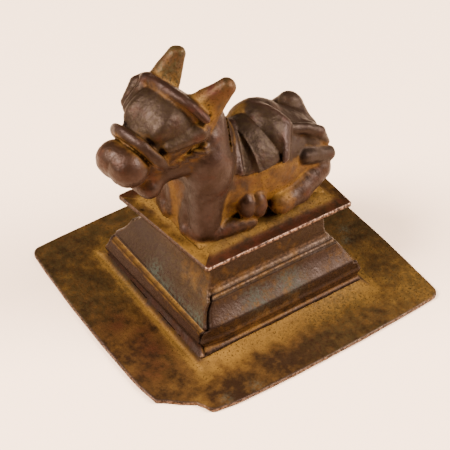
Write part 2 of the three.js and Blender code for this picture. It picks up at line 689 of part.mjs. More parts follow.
// Thins a closed skin to a number of triangles. The edge that moves the surface least
// shrinks first, unless that would pinch the skin or turn a face over.
function thin({ points, faces }, target) {
  const alive = faces.map(() => true);
  const facesOf = points.map(() => new Set());
  const forms = points.map(() => new Array(10).fill(0));
  const ages = points.map(() => 0);
  faces.forEach((face, n) => {
    const form = planeForm(points, face);
    for (const corner of face) {
      facesOf[corner].add(n);
      form.forEach((value, i) => { forms[corner][i] += value; });
    }
  });
  const neighbours = (a) => {
    const found = new Set();
    for (const n of facesOf[a]) for (const corner of faces[n]) found.add(corner);
    found.delete(a);
    return found;
  };
  const queue = new Queue();
  const offer = (a, b) => {
    const form = forms[a].map((value, i) => value + forms[b][i]);
    const place = shrinkPlace(form, points[a], points[b]);
    const reach = Math.hypot(...points[a].map((value, i) => points[b][i] - value));
    const cost = Math.max(formAt(form, place), 0) + 1e-4 * reach * reach;
    queue.add({ cost, a, b, ageA: ages[a], ageB: ages[b], form, place });
  };
  const turnsOver = (a, b, place) => [...facesOf[a]].some((n) => {
    const face = faces[n];
    if (face.includes(b)) return false;
    const before = new THREE.Triangle(...face.map((c) => new THREE.Vector3(...points[c])));
    const moved = face.map((c) => new THREE.Vector3(...(c === a ? place : points[c])));
    const after = new THREE.Triangle(...moved);
    const facing = before.getNormal(new THREE.Vector3()).dot(after.getNormal(new THREE.Vector3()));
    return facing < 0.3 || after.getArea() < 1e-3;
  });
  points.forEach((point, a) => {
    for (const b of neighbours(a)) if (a < b) offer(a, b);
  });
  let left = faces.length;
  while (left > target && queue.entries.length > 0) {
    const { a, b, ageA, ageB, form, place } = queue.take();
    if (ages[a] !== ageA || ages[b] !== ageB) continue;
    const around = neighbours(b);
    const shared = [...neighbours(a)].filter((c) => around.has(c));
    if (shared.length !== 2 || turnsOver(a, b, place) || turnsOver(b, a, place)) continue;
    for (const n of facesOf[b]) {
      if (faces[n].includes(a)) {
        alive[n] = false;
        left--;
        for (const corner of faces[n]) if (corner !== b) facesOf[corner].delete(n);
      } else {
        faces[n] = faces[n].map((corner) => (corner === b ? a : corner));
        facesOf[a].add(n);
      }
    }
    facesOf[b].clear();
    ages[b] = -1;
    points[a] = place;
    forms[a] = form;
    ages[a]++;
    for (const c of neighbours(a)) offer(a, c);
  }
  return fromFaces(points, faces.filter((face, n) => alive[n]));
}

function bullSolid() {
  const xs = places(-19, 0, 19, FINE_CELL, FINE_CELL);
  const ys = places(-44, -5, 31, FINE_CELL, COARSE_CELL);
  const zs = places(-4, 27, 51, COARSE_CELL, FINE_CELL);
  const geometry = thin(skin(bull, xs, ys, zs), BULL_TRIANGLES);
  const scale = BULL_HEIGHT / BULL_UNITS;
  geometry.scale(scale, scale, scale);
  geometry.translate(0, 0, SLAB_TOP);
  return toSolid(geometry);
}

function casting() {
  const plinth = mouldings(plinthLevels()).translate([MIDDLE_X, PLINTH_MIDDLE_Y, 0]);
  const top = slab().add(bullSolid()).translate([MIDDLE_X, SLAB_MIDDLE_Y, 0]);
  const hollow = mouldings(hollowLevels()).translate([MIDDLE_X, PLINTH_MIDDLE_Y, 0]);
  return plate().add(plinth).add(top).subtract(hollow);
}

const brass = new THREE.MeshStandardMaterial({ color: 0x6b4a26, roughness: 0.45, metalness: 0.85 });
const figure = new THREE.Mesh(toGeometry(casting()), brass);
figure.name = "nandi_on_stepped_plinth";

const group = new THREE.Group();
group.add(figure);

export default group;
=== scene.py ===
import itertools
import math

import bpy
import numpy as np
from mathutils import Matrix, Vector


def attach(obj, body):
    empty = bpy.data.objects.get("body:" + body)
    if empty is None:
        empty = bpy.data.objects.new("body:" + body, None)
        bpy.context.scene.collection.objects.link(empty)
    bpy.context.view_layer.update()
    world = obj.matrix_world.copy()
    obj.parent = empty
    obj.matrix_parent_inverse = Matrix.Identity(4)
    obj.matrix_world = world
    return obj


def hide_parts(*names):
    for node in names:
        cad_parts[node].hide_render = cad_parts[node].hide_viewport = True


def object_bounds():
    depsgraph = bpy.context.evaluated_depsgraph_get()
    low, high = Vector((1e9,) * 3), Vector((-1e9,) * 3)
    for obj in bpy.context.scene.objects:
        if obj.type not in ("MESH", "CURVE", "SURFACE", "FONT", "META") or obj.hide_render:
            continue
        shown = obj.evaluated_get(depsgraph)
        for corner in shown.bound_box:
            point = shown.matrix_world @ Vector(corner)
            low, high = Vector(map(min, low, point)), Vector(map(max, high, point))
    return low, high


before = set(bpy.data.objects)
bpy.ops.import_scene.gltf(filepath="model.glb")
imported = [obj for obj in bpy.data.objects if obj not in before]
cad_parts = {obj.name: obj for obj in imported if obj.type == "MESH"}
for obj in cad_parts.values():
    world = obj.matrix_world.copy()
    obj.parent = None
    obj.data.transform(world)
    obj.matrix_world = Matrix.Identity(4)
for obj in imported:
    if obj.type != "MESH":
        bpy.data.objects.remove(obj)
CAD_LOW, CAD_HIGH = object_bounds()

# Shapes are worked out in millimetres and put into meshes in metres.
# The bull faces -Y and its left flank faces +X.
MM = 0.001

# Sizes taken from the frame
PLATE_WIDTH = (CAD_HIGH.x - CAD_LOW.x) / MM
PLATE_DEPTH = (CAD_HIGH.y - CAD_LOW.y) / MM
FIGURE_TOP = CAD_HIGH.z / MM

# Base plate, with one broken corner
PLATE_THICK = 1.2
PLATE_CORNER = 3.0
PLATE_BOW = 1.2
PLATE_EDGE_ROUND = 0.22
# The broken corner's edge, each point by how far it lies from the plate's side and from its front
BROKEN_EDGE = np.array([
    (0.3, 21), (0.7, 17.4), (1.1, 14.8), (1.3, 13.2), (1.6, 12), (2.4, 11.1), (3.8, 10.7), (5.9, 9.5),
    (8.1, 6.2), (10.1, 4.1), (12.1, 1.4), (14.1, 1.1), (16.1, 0.8), (20.7, 0.1),
])

# Plinth: heights above the underside, widths across the bull, depths along it
LIP_HEIGHT = 3.0
REEDS_TOP_HEIGHT = 6.7
BEAD_LOW_HEIGHT = 5.25
BEAD_TOP_HEIGHT = 8.8
PANEL_FOOT_HEIGHT = 9.5
SHOULDER_HEIGHT = 9.9
PANEL_TOP_HEIGHT = 15.1
NECK_FOOT_HEIGHT = 17.6
SLAB_UNDER_HEIGHT = 25.2
LIP_WIDTH, LIP_DEPTH = 48.2, 52.4
FOOT_DEPTH = 52.2
BEAD_WIDTH, BEAD_DEPTH = 46.4, 49.8
PANEL_FOOT_WIDTH, PANEL_FOOT_DEPTH = 45.8, 47.4
PANEL_TOP_WIDTH, PANEL_TOP_DEPTH = 38.4, 41.8
NECK_WIDTH, NECK_DEPTH = 33.4, 35.4
GROOVE = 0.7
EDGE_ROUND = 0.8
PLINTH_MIDDLE = np.array([-0.5, 0.7])
# How far the front's left end lies behind its right end, at some heights
PLINTH_SKEW = np.array([(2.4, 0), (5.4, 1.8), (9.5, 0.2), (10, 0)])

# Cove by which the plate rises to the plinth's foot
COVE_HEIGHT = 1.2
COVE_REACH_SIDE = 5.8
COVE_REACH_FRONT = 2.2
COVE_DEPTH_FRONT = 0.9

# Slab on top of the neck, its front edge cut askew
SLAB_WIDTH, SLAB_DEPTH = 36.8, 50.4
SLAB_THICK = 1.4
SLAB_FRONT_SKEW = 4.0
SLAB_BACK_SKEW = 1.2
SLAB_TOP = SLAB_UNDER_HEIGHT + SLAB_THICK
SLAB_MIDDLE = np.array([-0.5, 1.7])
MOUND_HEIGHT = 1.05

# Hollow under the plinth
WALL = 2.4
ROOF = 3.2
HOLLOW_TURN_HEIGHT = 8.9

# The bull's own numbers are units, of which BULL_UNITS go to its height above the slab
BULL_UNITS = 46.8
BULL_SUNK = 0.6
BULL_SCALE = (FIGURE_TOP - SLAB_TOP) / BULL_UNITS

# The head's place on the bull, and its turns in degrees: to the left, down, and onto one side
HEAD_PLACE = np.array([0.7, -19.8, 44.1])
HEAD_TURN, HEAD_BOW, HEAD_TILT = 9.8, 30.8, 4.9
# How far down the face the brow roll and the nose band lie
BROW_PLACE, NOSE_BAND_PLACE = 0.6, 15

# Gap between the neck and the cloth: how far ahead of the cloth, its half width, its depth and
# the height where it starts
GAP_AHEAD, GAP_HALF_WIDTH, GAP_DEPTH, GAP_LOW = 1.7, 0.35, 0.6, 25

# Marks on the casting, and places of painted light and painted shade on the bull, each by its place across,
# along and up
STAINS = [(x, y, PLATE_THICK) for x, y in ((6, -33), (13, -33), (19, -36), (0, -36))]
SMUDGES = [(x, y, PLATE_THICK) for x, y in ((29.1, -12.1), (30.5, -10.5))]
GREEN_DOTS = [(x, y, PLATE_THICK) for x, y in ((3.8, 36), (7.7, 33.6), (37.4, -18), (37, -26.7))]
GREEN_PATCHES = [(-2.9, -23, 10.3), (3, -23.6, 8.6), (9, -24, 8.2), (14, -24, 8.4), (18, -23.6, 9)]
GREEN_ON_SIDE = [(21, -6, 12), (21, 4, 12.5)]
BLACK_SPECKS = [(11, -25.4, 5.6), (13, -25.5, 5.2)]
PITS = [(x, y, SLAB_TOP) for x, y in
        ((-10.3, -24.1), (-9.1, -23.7), (-7.7, -23.6), (-10.2, -21.2), (-2.7, -23.1))]
# Painted light: a golden patch that brightens the front end of the near hind foot
LIGHT_ON_HIND_TOE = np.array([13, 4.5, 6.5])
# Painted shade: a black spot in the gap between the front hoof and the hind foot
SHADE_BEHIND_HOOF = np.array([11.4, -0.5, 0.6])

# Depths of the small flaws: waves and grain all over, the crack and the pull at the near corner,
# the ragged slab edge, the pits, the ridge along the front's foot, and the bull's dents
WAVES, GRAIN = 0.09, 0.03
CRACK_DEPTH, CORNER_PULL = 0.8, 0.9
RAGGED_EDGE = 0.12
PIT_DEPTH, PIT_REACH = 0.25, 0.38
FOOT_RIDGE = 0.1
BULL_DENTS, BULL_GRAIN = 0.2, 0.1

# How much each part of the bull adds to each mask of the patina, including a patch of painted light on the
# hind toe and a spot of painted shade behind the front hoof
BULL_TONE = {
    "flesh": 0.8, "croup": -1.5, "tail": -1.4, "low_chest": 0.3, "neck": -0.5, "foreleg": -0.5,
    "cloth": -0.8, "cloth_top": -0.2, "rolls": -0.3, "muzzle": -0.2, "band": -0.7, "brow": -0.6,
    "face": -0.7, "horns": 0.7, "painted_light_on_hind_toe": 1.3,
}
BULL_OLIVE = {"far_horn": 0.9, "horns": 0.35, "face": 0.35, "cloth": 0.45, "rolls": -0.6, "flesh": 0.25}
BULL_RED = {"near_horn_tip": 0.6, "muzzle": 0.2, "brow": 0.3, "feet": 0.2}
BULL_DIRT_AND_SHADE = {
    "painted_shade_behind_hoof": 1.5, "plain_cloth": 0.35, "face": 0.3, "band": 0.2, "brow": 0.25, "croup": 0.35,
    "tail": 0.4,
}

# The same for the parts of the plinth, slab and plate, including painted shade under the bead and along the
# front's foot, and a painted highlight on the ridge in front of it
BASE_TONE = {
    "plate": 0.1, "side_cove": 1.1, "front_cove": 0.3, "ridge": 1.4, "painted_shade_at_foot": -0.5,
    "golden_corner": 0.7, "dull_side": -0.5, "mound": 1.0, "band": -0.15, "apron": 1.0,
    "slab_edge": -0.7, "panel": -1.8, "panel_slope": 1.6, "bead": -0.7, "bead_top": 1.4,
    "painted_shade_under_bead": 0.1, "above": -0.35, "swell": -0.35, "reeds": 0.15,
}
BASE_OLIVE = {
    "plate": 0.1, "far_plate": 0.5, "cloudy_plate": 0.4, "panel": 0.4, "mound": 0.35, "above": 0.25,
}
BASE_RED = {"band": 0.9, "stains": 0.8, "red_clouds": 0.4, "painted_shade_under_bead": 0.5, "reeds": 0.25}
BASE_GREEN = {"green_patches": 1.6, "green_swell": 0.7, "green_dots": 0.5}
BASE_BARE = {"near_slab_edge": 0.9, "front_slab_edge": 0.1, "plate_edge": 0.4}
BASE_DIRT_AND_SHADE = {"smudges": 0.5, "painted_shade_under_bead": 0.4, "low_panel": 0.35, "painted_shadow_at_foot": 0.6}

# Fineness of the surfaces
BULL_CELL = 0.4
RING_PER_SIDE = 118
RING_PER_CORNER = 9
PROFILE_STEP = 0.36

# A part's field at which its colour has faded out
PART_REACH = 0.7


def lattice_value(place, seed):
    """A fixed random number from 0 to 1 for each whole-number place, by mixing its bits."""
    mixed = place[..., 0] * 73856093 ^ place[..., 1] * 19349663 ^ place[..., 2] * 83492791
    mixed = (mixed ^ (seed * 2654435)) & 0xFFFFFFFF
    mixed = (mixed ^ (mixed >> 13)) * 1274126177 & 0xFFFFFFFF
    return ((mixed ^ (mixed >> 16)) & 0xFFFF) / 0xFFFF


def noise(points, cell, seed):
    """Smooth noise from -1 to 1: random values at the corners of a cubic lattice, mixed inside
    each cube by smoothstep weights."""
    q = points / cell
    base = np.floor(q).astype(np.int64)
    t = q - base
    t = t * t * (3 - 2 * t)
    total = np.zeros(points.shape[:-1])
    for corner in itertools.product((0, 1), repeat=3):
        weight = np.prod(np.where(corner, t, 1 - t), axis=-1)
        total += weight * lattice_value(base + np.array(corner), seed)
    return 2 * total - 1


def rough(points, cell, seed, layers=3):
    """Noise on noise: each layer has half the cell and half the height of the one before."""
    heights = 0.5 ** np.arange(layers)
    parts = [h * noise(points, cell * h, seed + n) for n, h in enumerate(heights)]
    return sum(parts) / heights.sum()


def smooth(value):
    """0 below 0, 1 above 1, and 3 t^2 - 2 t^3 between."""
    t = np.clip(value, 0, 1)
    return t * t * (3 - 2 * t)


def past(value, start, fade):
    """0 up to the start, and 1 from the fade's width beyond it."""
    return smooth((value - start) / fade)


def short_of(value, end, fade):
    """1 until the fade's width before the end, and 0 from the end on."""
    return smooth((end - value) / fade)


def bump(distance, reach):
    """A bell of height 1 that has fallen to about a third at the reach."""
    return np.exp(-(distance / reach) ** 2)


def weighed(parts, weights):
    """Sum of the named parts, each times its weight."""
    return sum(weight * parts[name] for name, weight in weights.items())


def lay_mesh(name, points, faces, masks):
    """A shown piece: points in millimetres, faces of three or four corners, and one float
    attribute for each named mask."""
    mesh = bpy.data.meshes.new(name)
    mesh.from_pydata(points * MM, [], faces)
    for mask, values in masks.items():
        layer = mesh.attributes.new(mask, "FLOAT", "POINT")
        layer.data.foreach_set("value", np.ascontiguousarray(values, dtype=np.float32))
    mesh.shade_smooth()
    piece = bpy.data.objects.new(name, mesh)
    bpy.context.scene.collection.objects.link(piece)
    return piece


# The bull as a distance field: below zero inside, above zero outside


def length(a):
    return np.sqrt((a * a).sum(-1))


def ellipsoid(p, centre, radii):
    q = (p - np.array(centre)) / np.array(radii)
    reach = length(q)
    return reach * (reach - 1) / np.maximum(length(q / np.array(radii)), 1e-9)


def limb(p, a, b, ra, rb):
    """A rounded rod whose radius runs evenly from ra to rb."""
    start = np.array(a)
    along = np.array(b) - start
    t = np.clip((p - start) @ along / (along @ along), 0, 1)
    return length(p - start - t[..., None] * along) - ra - (rb - ra) * t


def block(p, centre, half, corner):
    q = np.abs(p - np.array(centre)) - np.array(half) + corner
    return length(np.maximum(q, 0)) + np.minimum(q.max(-1), 0) - corner


def blend(a, b, soft):
    """Soft union: the lower of the two, less a fillet where they are within soft of each other."""
    h = np.maximum(soft - np.abs(a - b), 0)
    return np.minimum(a, b) - h * h / (4 * soft)


def melted(form, *additions):
    """The form with each addition melted onto it by its own softness, one after another."""
    for addition, soft in additions:
        form = blend(form, addition, soft)
    return form


def common(a, b, soft):
    """Soft overlap of the two."""
    return -blend(-a, -b, soft)


def mirrored(p):
    """The same places with the right half folded onto the left."""
    return np.stack([np.abs(p[..., 0]), p[..., 1], p[..., 2]], -1)


def turned(a, b, degrees):
    """The pair a, b turned, the first towards the second."""
    c, s = math.cos(math.radians(degrees)), math.sin(math.radians(degrees))
    return c * a + s * b, c * b - s * a


def route(p, points, radii):
    """Rods joined end to end."""
    rods = zip(points[:-1], points[1:], radii[:-1], radii[1:])
    return np.minimum.reduce([limb(p, a, b, ra, rb) for a, b, ra, rb in rods])


def head_frame(p):
    """The head's own frame: across, down the face from the brow, out of the face."""
    x, y, z = np.moveaxis(p - HEAD_PLACE, -1, 0)
    aside, ahead = turned(x, y, HEAD_TURN)
    down, out = turned(ahead, z, HEAD_BOW)
    level, across = turned(out, aside, HEAD_TILT)
    return np.stack([across, -down, level], -1)


def head(p):
    """Skull, brow roll, eyes, muzzle, nose band, chin, ears and cheek straps, melted together."""
    r = head_frame(p)
    s = mirrored(r)
    v, w = r[..., 1], r[..., 2]
    brow_shell = ellipsoid(r, (0, 3.5, -7.2), (12.8, 12.4, 8.2))
    brow = common(common(np.abs(v - BROW_PLACE) - 1.3, brow_shell, 1.5), -w - 5.6, 1.5)
    ball = ellipsoid(r, (0.4, 20, -5), (6.3, 4.6, 4.9))
    nostril = ellipsoid(s, (2.7, 20.9, -4.8), (3.5, 3.8, 4.3))
    band_shell = ellipsoid(r, (0, 11, -6.6), (9.3, 14, 7.7))
    band = common(common(np.abs(v - NOSE_BAND_PLACE) - 1.4, band_shell, 1.5), -w - 10, 1.5)
    jaw = [(7.6, 5, -15), (5, 10, -16), (3, 14, -15), (2.4, 18.6, -14.6)]
    cheek_strap = limb(s, (5.2, 15.3, -11.6), (10.6, 5.7, -12.6), 1, 1) - 0.2 * np.cos(3 * (v - w))
    return melted(
        ellipsoid(r, (0, 7, -8.2), (8.8, 8.8, 8.4)),
        (ellipsoid(r, (-0.4, 5.6, -5.7), (8.4, 6.4, 5.7)), 2),
        (limb(r, (0, 6.4, -8.3), (0, 16, -7), 7.6, 5.6), 3),
        (limb(r, (0, 3.4, -12.5), (1, 15, -12.2), 5.4, 4.8), 3),
        (limb(r, (0, 3.2, -13.5), (0, 4, -17), 5.6, 6.4), 3),
        (ellipsoid(s, (4.3, 8.2, -2.1), (2.4, 4.3, 2.4)), 1),
        (brow, 1.6),
        (limb(r, (-7.9, 1, -2.6), (-7.4, 9, -3.2), 1.5, 1.4), 1),
        (blend(ball, nostril, 2.5), 0.8),
        (band, 0.8),
        (route(s, jaw, [3.2, 4.4, 4.2, 3.2]), 1.5),
        (limb(r, (-2.6, 19.9, -15), (3.4, 19.9, -15.2), 3.1, 3.2), 1),
        (limb(r, (9.2, 3.4, -8.4), (7.4, 11, -4.8), 2.4, 1.4), 0.8),
        (limb(r, (-10.4, 2.8, -5), (-9.4, 7.6, -4.8), 2.4, 1.9), 0.6),
        (cheek_strap, 0.6),
    )


def horns(p):
    """Each horn is two rods that lean together, so its foot is broad and flat."""
    right = blend(
        limb(p, (-7.9, -18.1, 38.4), (-8.8, -12.3, 45.2), 3.5, 1.8),
        limb(p, (-6, -16.2, 36.6), (-8, -11.3, 45.4), 2.5, 1.4),
        1.5,
    )
    left = blend(
        limb(p, (4.4, -15.8, 37.8), (8.6, -9.2, 44.8), 3.6, 1.9),
        limb(p, (6.4, -13.6, 36), (9, -8.9, 44.3), 3, 1.7),
        1.5,
    )
    return common(np.minimum(right, left), p[..., 2] - BULL_UNITS, 0.4)


def trunk(p):
    middle = ellipsoid(p, (0.4, 5, 12.4), (12, 14.4, 13.2))
    return blend(middle, limb(p, (0, -4, 12), (0, 13.4, 10.8), 11, 10.8), 3)


def cloth_front(p):
    """How far along the bull the cloth's front border lies."""
    across = np.abs(p[..., 0])
    return -4.6 - 0.35 * np.clip(across - 5, 0, 9) + 2.2 * smooth(1 - across / 6)


def cloth_rear(p):
    """Place along the back of the cloth's rear border."""
    x = p[..., 0]
    return 10.6 - 0.8 * np.clip(np.abs(x) - 7, 0, 9) - 0.5 * np.clip(6.3 - x, 0, 11)


def back_hollow(p):
    """How much lower the far shoulder of the back lies."""
    return 3.8 * bump(length(p - np.array([-7.4, 1.2, 21.6])), 6)


def saddle_cloth(p, back):
    """A pleated layer over the trunk's field between two rolled borders."""
    x, y, z = np.moveaxis(p, -1, 0)
    front = cloth_front(p)
    rear = cloth_rear(p)
    first_fold = -2.4 + 0.05 * (25 - z)
    second_fold = 3.1 + 0.42 * (25 - z)
    falling = 1 - (y - first_fold) / (second_fold - first_fold)
    folds = 0.7 * np.where(y < second_fold, falling, 0.45 * (y - second_fold))
    folds = folds * smooth((y - first_fold) * 3)
    folds = np.clip(folds, 0, 1) + 0.35 * bump(y - first_fold, 0.4) - 0.3 * bump(y - second_fold, 0.5)
    hem = 17.8 + 0.12 * y + 0.7 * np.clip(-4.4 - y, 0, 3)
    between = np.maximum(front - y, y - rear)
    layer = common(common(back - 1.1 - folds, between, 0.6), hem - z, 0.5)
    rear_roll = common(common(np.abs(y - rear) - 1.2, back - 2.1, 0.9), hem - 0.4 - z, 0.8)
    front_roll = common(common(np.abs(y - front) - 1.2, back - 2.3, 0.9), hem - 0.4 - z, 0.8)
    return blend(blend(layer, rear_roll, 0.6), front_roll, 0.6)


def folded_legs(s):
    """Upright forelegs, folded forearms with cloven hooves, and the hind legs along the belly."""
    shin = limb(s, (7.2, -13.8, 24), (8, -15.4, 3.5), 4.7, 3.6)
    calf = limb(s, (7, -11.4, 22), (7.6, -15, 4), 4.6, 2.6)
    shoulder = limb(s, (5.6, -12.8, 29), (7.4, -13.4, 20), 4.4, 4.9)
    flange = limb(s, (4.6, -16.4, 14), (3, -17, 2.5), 1.8, 2.2)
    arm = limb(s, (9.4, -13.5, 1.8), (11.6, -4, 2.4), 2.6, 2.2)
    knee = limb(s, (4.4, -18.2, 1.8), (8, -16, 2), 2, 3)
    hoof_front = ellipsoid(s, (11, -4.6, 7.6), (2.7, 2.5, 3.9))
    hoof_back = ellipsoid(s, (11.5, -1.7, 7), (3, 2.6, 4.1))
    forefoot = blend(blend(arm, knee, 0.8), blend(hoof_front, hoof_back, 0.3), 0.6)
    thigh = limb(s, (9, 18.6, 8.2), (11.2, 11.4, 5.4), 4, 3.4)
    hind_foot = limb(s, (11.2, 11.4, 5.4), (12.2, 5.2, 4.9), 3.4, 3.3)
    foreleg = blend(blend(blend(shin, calf, 2), shoulder, 3), flange, 1)
    return foreleg, forefoot, blend(thigh, hind_foot, 1)


def tail_tuft(p):
    """The tail's end, laid along the left flank."""
    return limb(p, (10.8, 13.4, 15), (9.6, 21.8, 11.6), 1.9, 2.1)


def bull_field(p):
    """The whole bull and its pad, cut off flat a little below the slab's top."""
    back = trunk(p) + back_hollow(p)
    foreleg, forefoot, hind_leg = folded_legs(mirrored(p))
    crupper = [(6, 10.4, 22.2), (7.4, 15.8, 20.8), (8.4, 19.7, 18.6), (8.6, 21.4, 15)]
    far_crupper = [(-5, 7, 22), (-7.4, 15, 19.4), (-8.6, 19, 16.6), (-9, 21, 14)]
    form = melted(
        back,
        (ellipsoid(p, (-2, 6.4, 17.6), (7.2, 8.6, 9.6)), 2),
        (limb(p, (0, -12.8, 28.6), (0, -7.7, 14), 8.2, 9.7), 4),
        (limb(p, (0, -11.4, 20), (0, -12, 2), 6.4, 6.2), 3),
        (block(p, (0, 2.5, 3), (9.6, 17, 4.4), 2.5), 2.5),
        (limb(p, (-5.8, 20.2, 18.8), (-8.2, 18.4, 13.4), 3.1, 4.6), 2),
        (limb(p, (6.4, 17.8, 18), (7.4, 17.6, 12), 2.8, 4.2), 2),
        (limb(p, (-5, 21, 17.4), (1.4, 20.4, 15), 3, 2.9), 2),
        (foreleg, 2.5),
    )
    ahead_of_cloth = np.abs(p[..., 1] - cloth_front(p) + GAP_AHEAD) - GAP_HALF_WIDTH
    gap = np.maximum(np.maximum(ahead_of_cloth, -GAP_DEPTH - form), GAP_LOW - p[..., 2])
    form = melted(
        common(form, -gap, 0.3),
        (saddle_cloth(p, back), 0.5),
        (route(p, crupper, [1.6, 1.6, 1.6, 1.3]), 0.6),
        (route(p, far_crupper, [1.4, 1.4, 1.4, 1.2]), 1),
        (forefoot, 0.7),
        (hind_leg, 1),
        (tail_tuft(p), 0.8),
        (head(p), 1.5),
        (horns(p), 1.2),
        (block(p, (0, 0.6, 0), (11.8, 19.8, 0.9), 0.8), 1.6),
    )
    return np.maximum(form, -BULL_SUNK - p[..., 2])


def grid_values(field, axes):
    """The field on a grid. It is first worked out on every sixth node, and then only on the
    nodes near enough to a low value for the surface to reach them."""
    skip = 6
    coarse = np.stack(np.meshgrid(*[a[::skip] for a in axes], indexing="ij"), -1)
    rough_values = field(coarse)
    picks = [np.minimum((np.arange(len(a)) + skip // 2) // skip, len(a[::skip]) - 1) for a in axes]
    values = rough_values[np.ix_(*picks)]
    near = np.abs(values) < 1.5 * skip * (axes[0][1] - axes[0][0])
    i, j, k = np.nonzero(near)
    values[near] = field(np.stack([axes[0][i], axes[1][j], axes[2][k]], -1))
    return values


def grid_skin(values, axes):
    """Surface where the grid passes zero: one point in each cell that it crosses, at the mean of
    the crossings on the cell's edges, and one four-sided face round each crossed grid edge."""
    inside = values < 0
    shape = np.array(values.shape) - 1
    total = np.zeros((*shape, 3))
    count = np.zeros(shape)
    crossings = []
    for axis in range(3):
        low = [slice(None)] * 3
        high = [slice(None)] * 3
        low[axis], high[axis] = slice(None, -1), slice(1, None)
        a, b = values[tuple(low)], values[tuple(high)]
        place = np.nonzero((a < 0) != (b < 0))
        t = a[place] / (a[place] - b[place])
        spot = np.stack([axes[n][place[n]] for n in range(3)], -1)
        spot[:, axis] += t * (axes[axis][place[axis] + 1] - axes[axis][place[axis]])
        others = [n for n in range(3) if n != axis]
        for back in itertools.product((0, 1), repeat=2):
            cell = [c.copy() for c in place]
            for n, step in zip(others, back):
                cell[n] -= step
            good = np.all([(c >= 0) & (c < shape[n]) for n, c in enumerate(cell)], axis=0)
            spots = tuple(c[good] for c in cell)
            np.add.at(total, spots, spot[good])
            np.add.at(count, spots, 1)
        crossings.append((axis, place, inside[place]))
    filled = count > 0
    points = total[filled] / count[filled][:, None]
    number = np.full(tuple(shape), -1)
    number[filled] = np.arange(len(points))
    faces = []
    for axis, place, starts_inside in crossings:
        u, v = (axis + 1) % 3, (axis + 2) % 3
        ring = []
        for back_u, back_v in ((1, 1), (0, 1), (0, 0), (1, 0)):
            cell = [c.copy() for c in place]
            cell[u] -= back_u
            cell[v] -= back_v
            ring.append(number[tuple(cell)])
        quads = np.stack(ring, -1)
        quads[~starts_inside] = quads[~starts_inside][:, ::-1]
        faces.append(quads)
    return points, np.concatenate(faces)


def field_normal(field, points, reach=0.05):
    """Direction in which the field grows fastest, from four places round each point, and the
    steepness of the field there."""
    corners = np.array([(1, -1, -1), (-1, -1, 1), (-1, 1, -1), (1, 1, 1)])
    slope = sum(field(points + reach * c)[:, None] * c for c in corners) / (4 * reach)
    steepness = np.maximum(length(slope), 1e-6)
    return slope / steepness[:, None], steepness


def draw_onto(field, points):
    """Moves each point along the normal until the field there is zero."""
    for _ in range(3):
        normal, steepness = field_normal(field, points)
        step = np.clip(field(points) / steepness, -0.3, 0.3)
        points = points - step[:, None] * normal
    return points


def openness(field, points, normal, reaches):
    """1 on an open place and towards 0 in a hollow: how far the field has grown at some reaches
    along the normal, as a share of each reach."""
    shares = [np.clip(field(points + d * normal) / d, 0, 1) for d in reaches]
    return sum(shares) / len(shares)


def bull_parts(points):
    """Shares of the bull's parts at each point, from 0 to 1: a part's own skin has 1, and the
    share fades out where the part's field reaches PART_REACH."""
    x, y, z = points.T
    head_place = head_frame(points)
    down_face, out_of_face = head_place[:, 1], head_place[:, 2]

    def skin_of(form):
        return smooth(1 - form / PART_REACH)

    in_head = skin_of(head(points))
    in_horns = skin_of(horns(points)) * (1 - in_head * (out_of_face < 0))
    foreleg, forefoot, hind_leg = folded_legs(mirrored(points))
    in_foreleg = skin_of(foreleg) * (1 - in_head)
    in_feet = np.maximum(skin_of(forefoot), skin_of(hind_leg))
    in_cloth = skin_of(saddle_cloth(points, trunk(points) + back_hollow(points)))
    past_front = y - cloth_front(points)
    past_rear = y - cloth_rear(points)
    rolls = in_cloth * (bump(past_front, 1.3) + bump(past_rear, 1.3))
    covered = np.clip(in_head + in_horns + in_foreleg + in_feet + in_cloth, 0, 1)
    neck = (1 - covered) * past(z, 12, 6) * short_of(y, -3, 3)
    flesh = (1 - covered) * (1 - neck)
    between_forelegs = short_of(np.abs(x), 5, 2) * short_of(z, 24, 4)
    below_brow = past(down_face, 2.4, 1) * short_of(down_face, 14, 1)
    return {
        "horns": in_horns,
        "far_horn": in_horns * short_of(x, 2, 4),
        "near_horn_tip": in_horns * past(x, 3, 3) * past(z, 40, 3),
        "foreleg": in_foreleg,
        "feet": in_feet,
        "cloth": in_cloth,
        "cloth_top": in_cloth * past(z, 22, 4),
        "plain_cloth": in_cloth * (1 - rolls),
        "rolls": rolls,
        "neck": neck,
        "flesh": flesh,
        "low_chest": (1 - in_head) * between_forelegs * short_of(y, -13.5, 2),
        "croup": flesh * past(past_rear, 0, 2) * past(z, 15, 3),
        "tail": skin_of(tail_tuft(points)),
        "muzzle": in_head * past(down_face, 16.4, 0.8),
        "band": in_head * bump(down_face - NOSE_BAND_PLACE, 1.5),
        "brow": in_head * bump(down_face - BROW_PLACE, 1.7),
        "face": in_head * below_brow * past(out_of_face, -9, 4),
        "painted_light_on_hind_toe": bump(length(points - LIGHT_ON_HIND_TOE), 4),
        "painted_shade_behind_hoof": bump(length(points - SHADE_BEHIND_HOOF), 1.1),
    }


def bull_masks(points, normal):
    """The patina's masks on the bull: what its parts give, golden patina in its hollows, and painted shade
    that darkens the tightest hollows.
    """

    def with_slab(p):
        return np.minimum(bull_field(p), p[..., 2])

    hollow = 1 - openness(with_slab, points, normal, (0.8, 1.6))
    deep = 1 - openness(with_slab, points, normal, (3, 6))
    parts = bull_parts(points)
    tone = -0.5 + 1.35 * hollow + 0.75 * deep + 0.45 * rough(points, 4.5, 57) + weighed(parts, BULL_TONE)
    none = np.zeros(len(points))
    return {
        "tone": tone,
        "olive": np.clip(weighed(parts, BULL_OLIVE), 0, 1),
        "red": weighed(parts, BULL_RED) + 0.55 * smooth(2 * rough(points, 3.2, 61)),
        "bare": none,
        # Painted shade: the tightest hollows darken towards black
        "dirt_and_shade": weighed(parts, BULL_DIRT_AND_SHADE) + 0.9 * smooth(4 * (hollow - 0.52)),
        "green": none,
    }


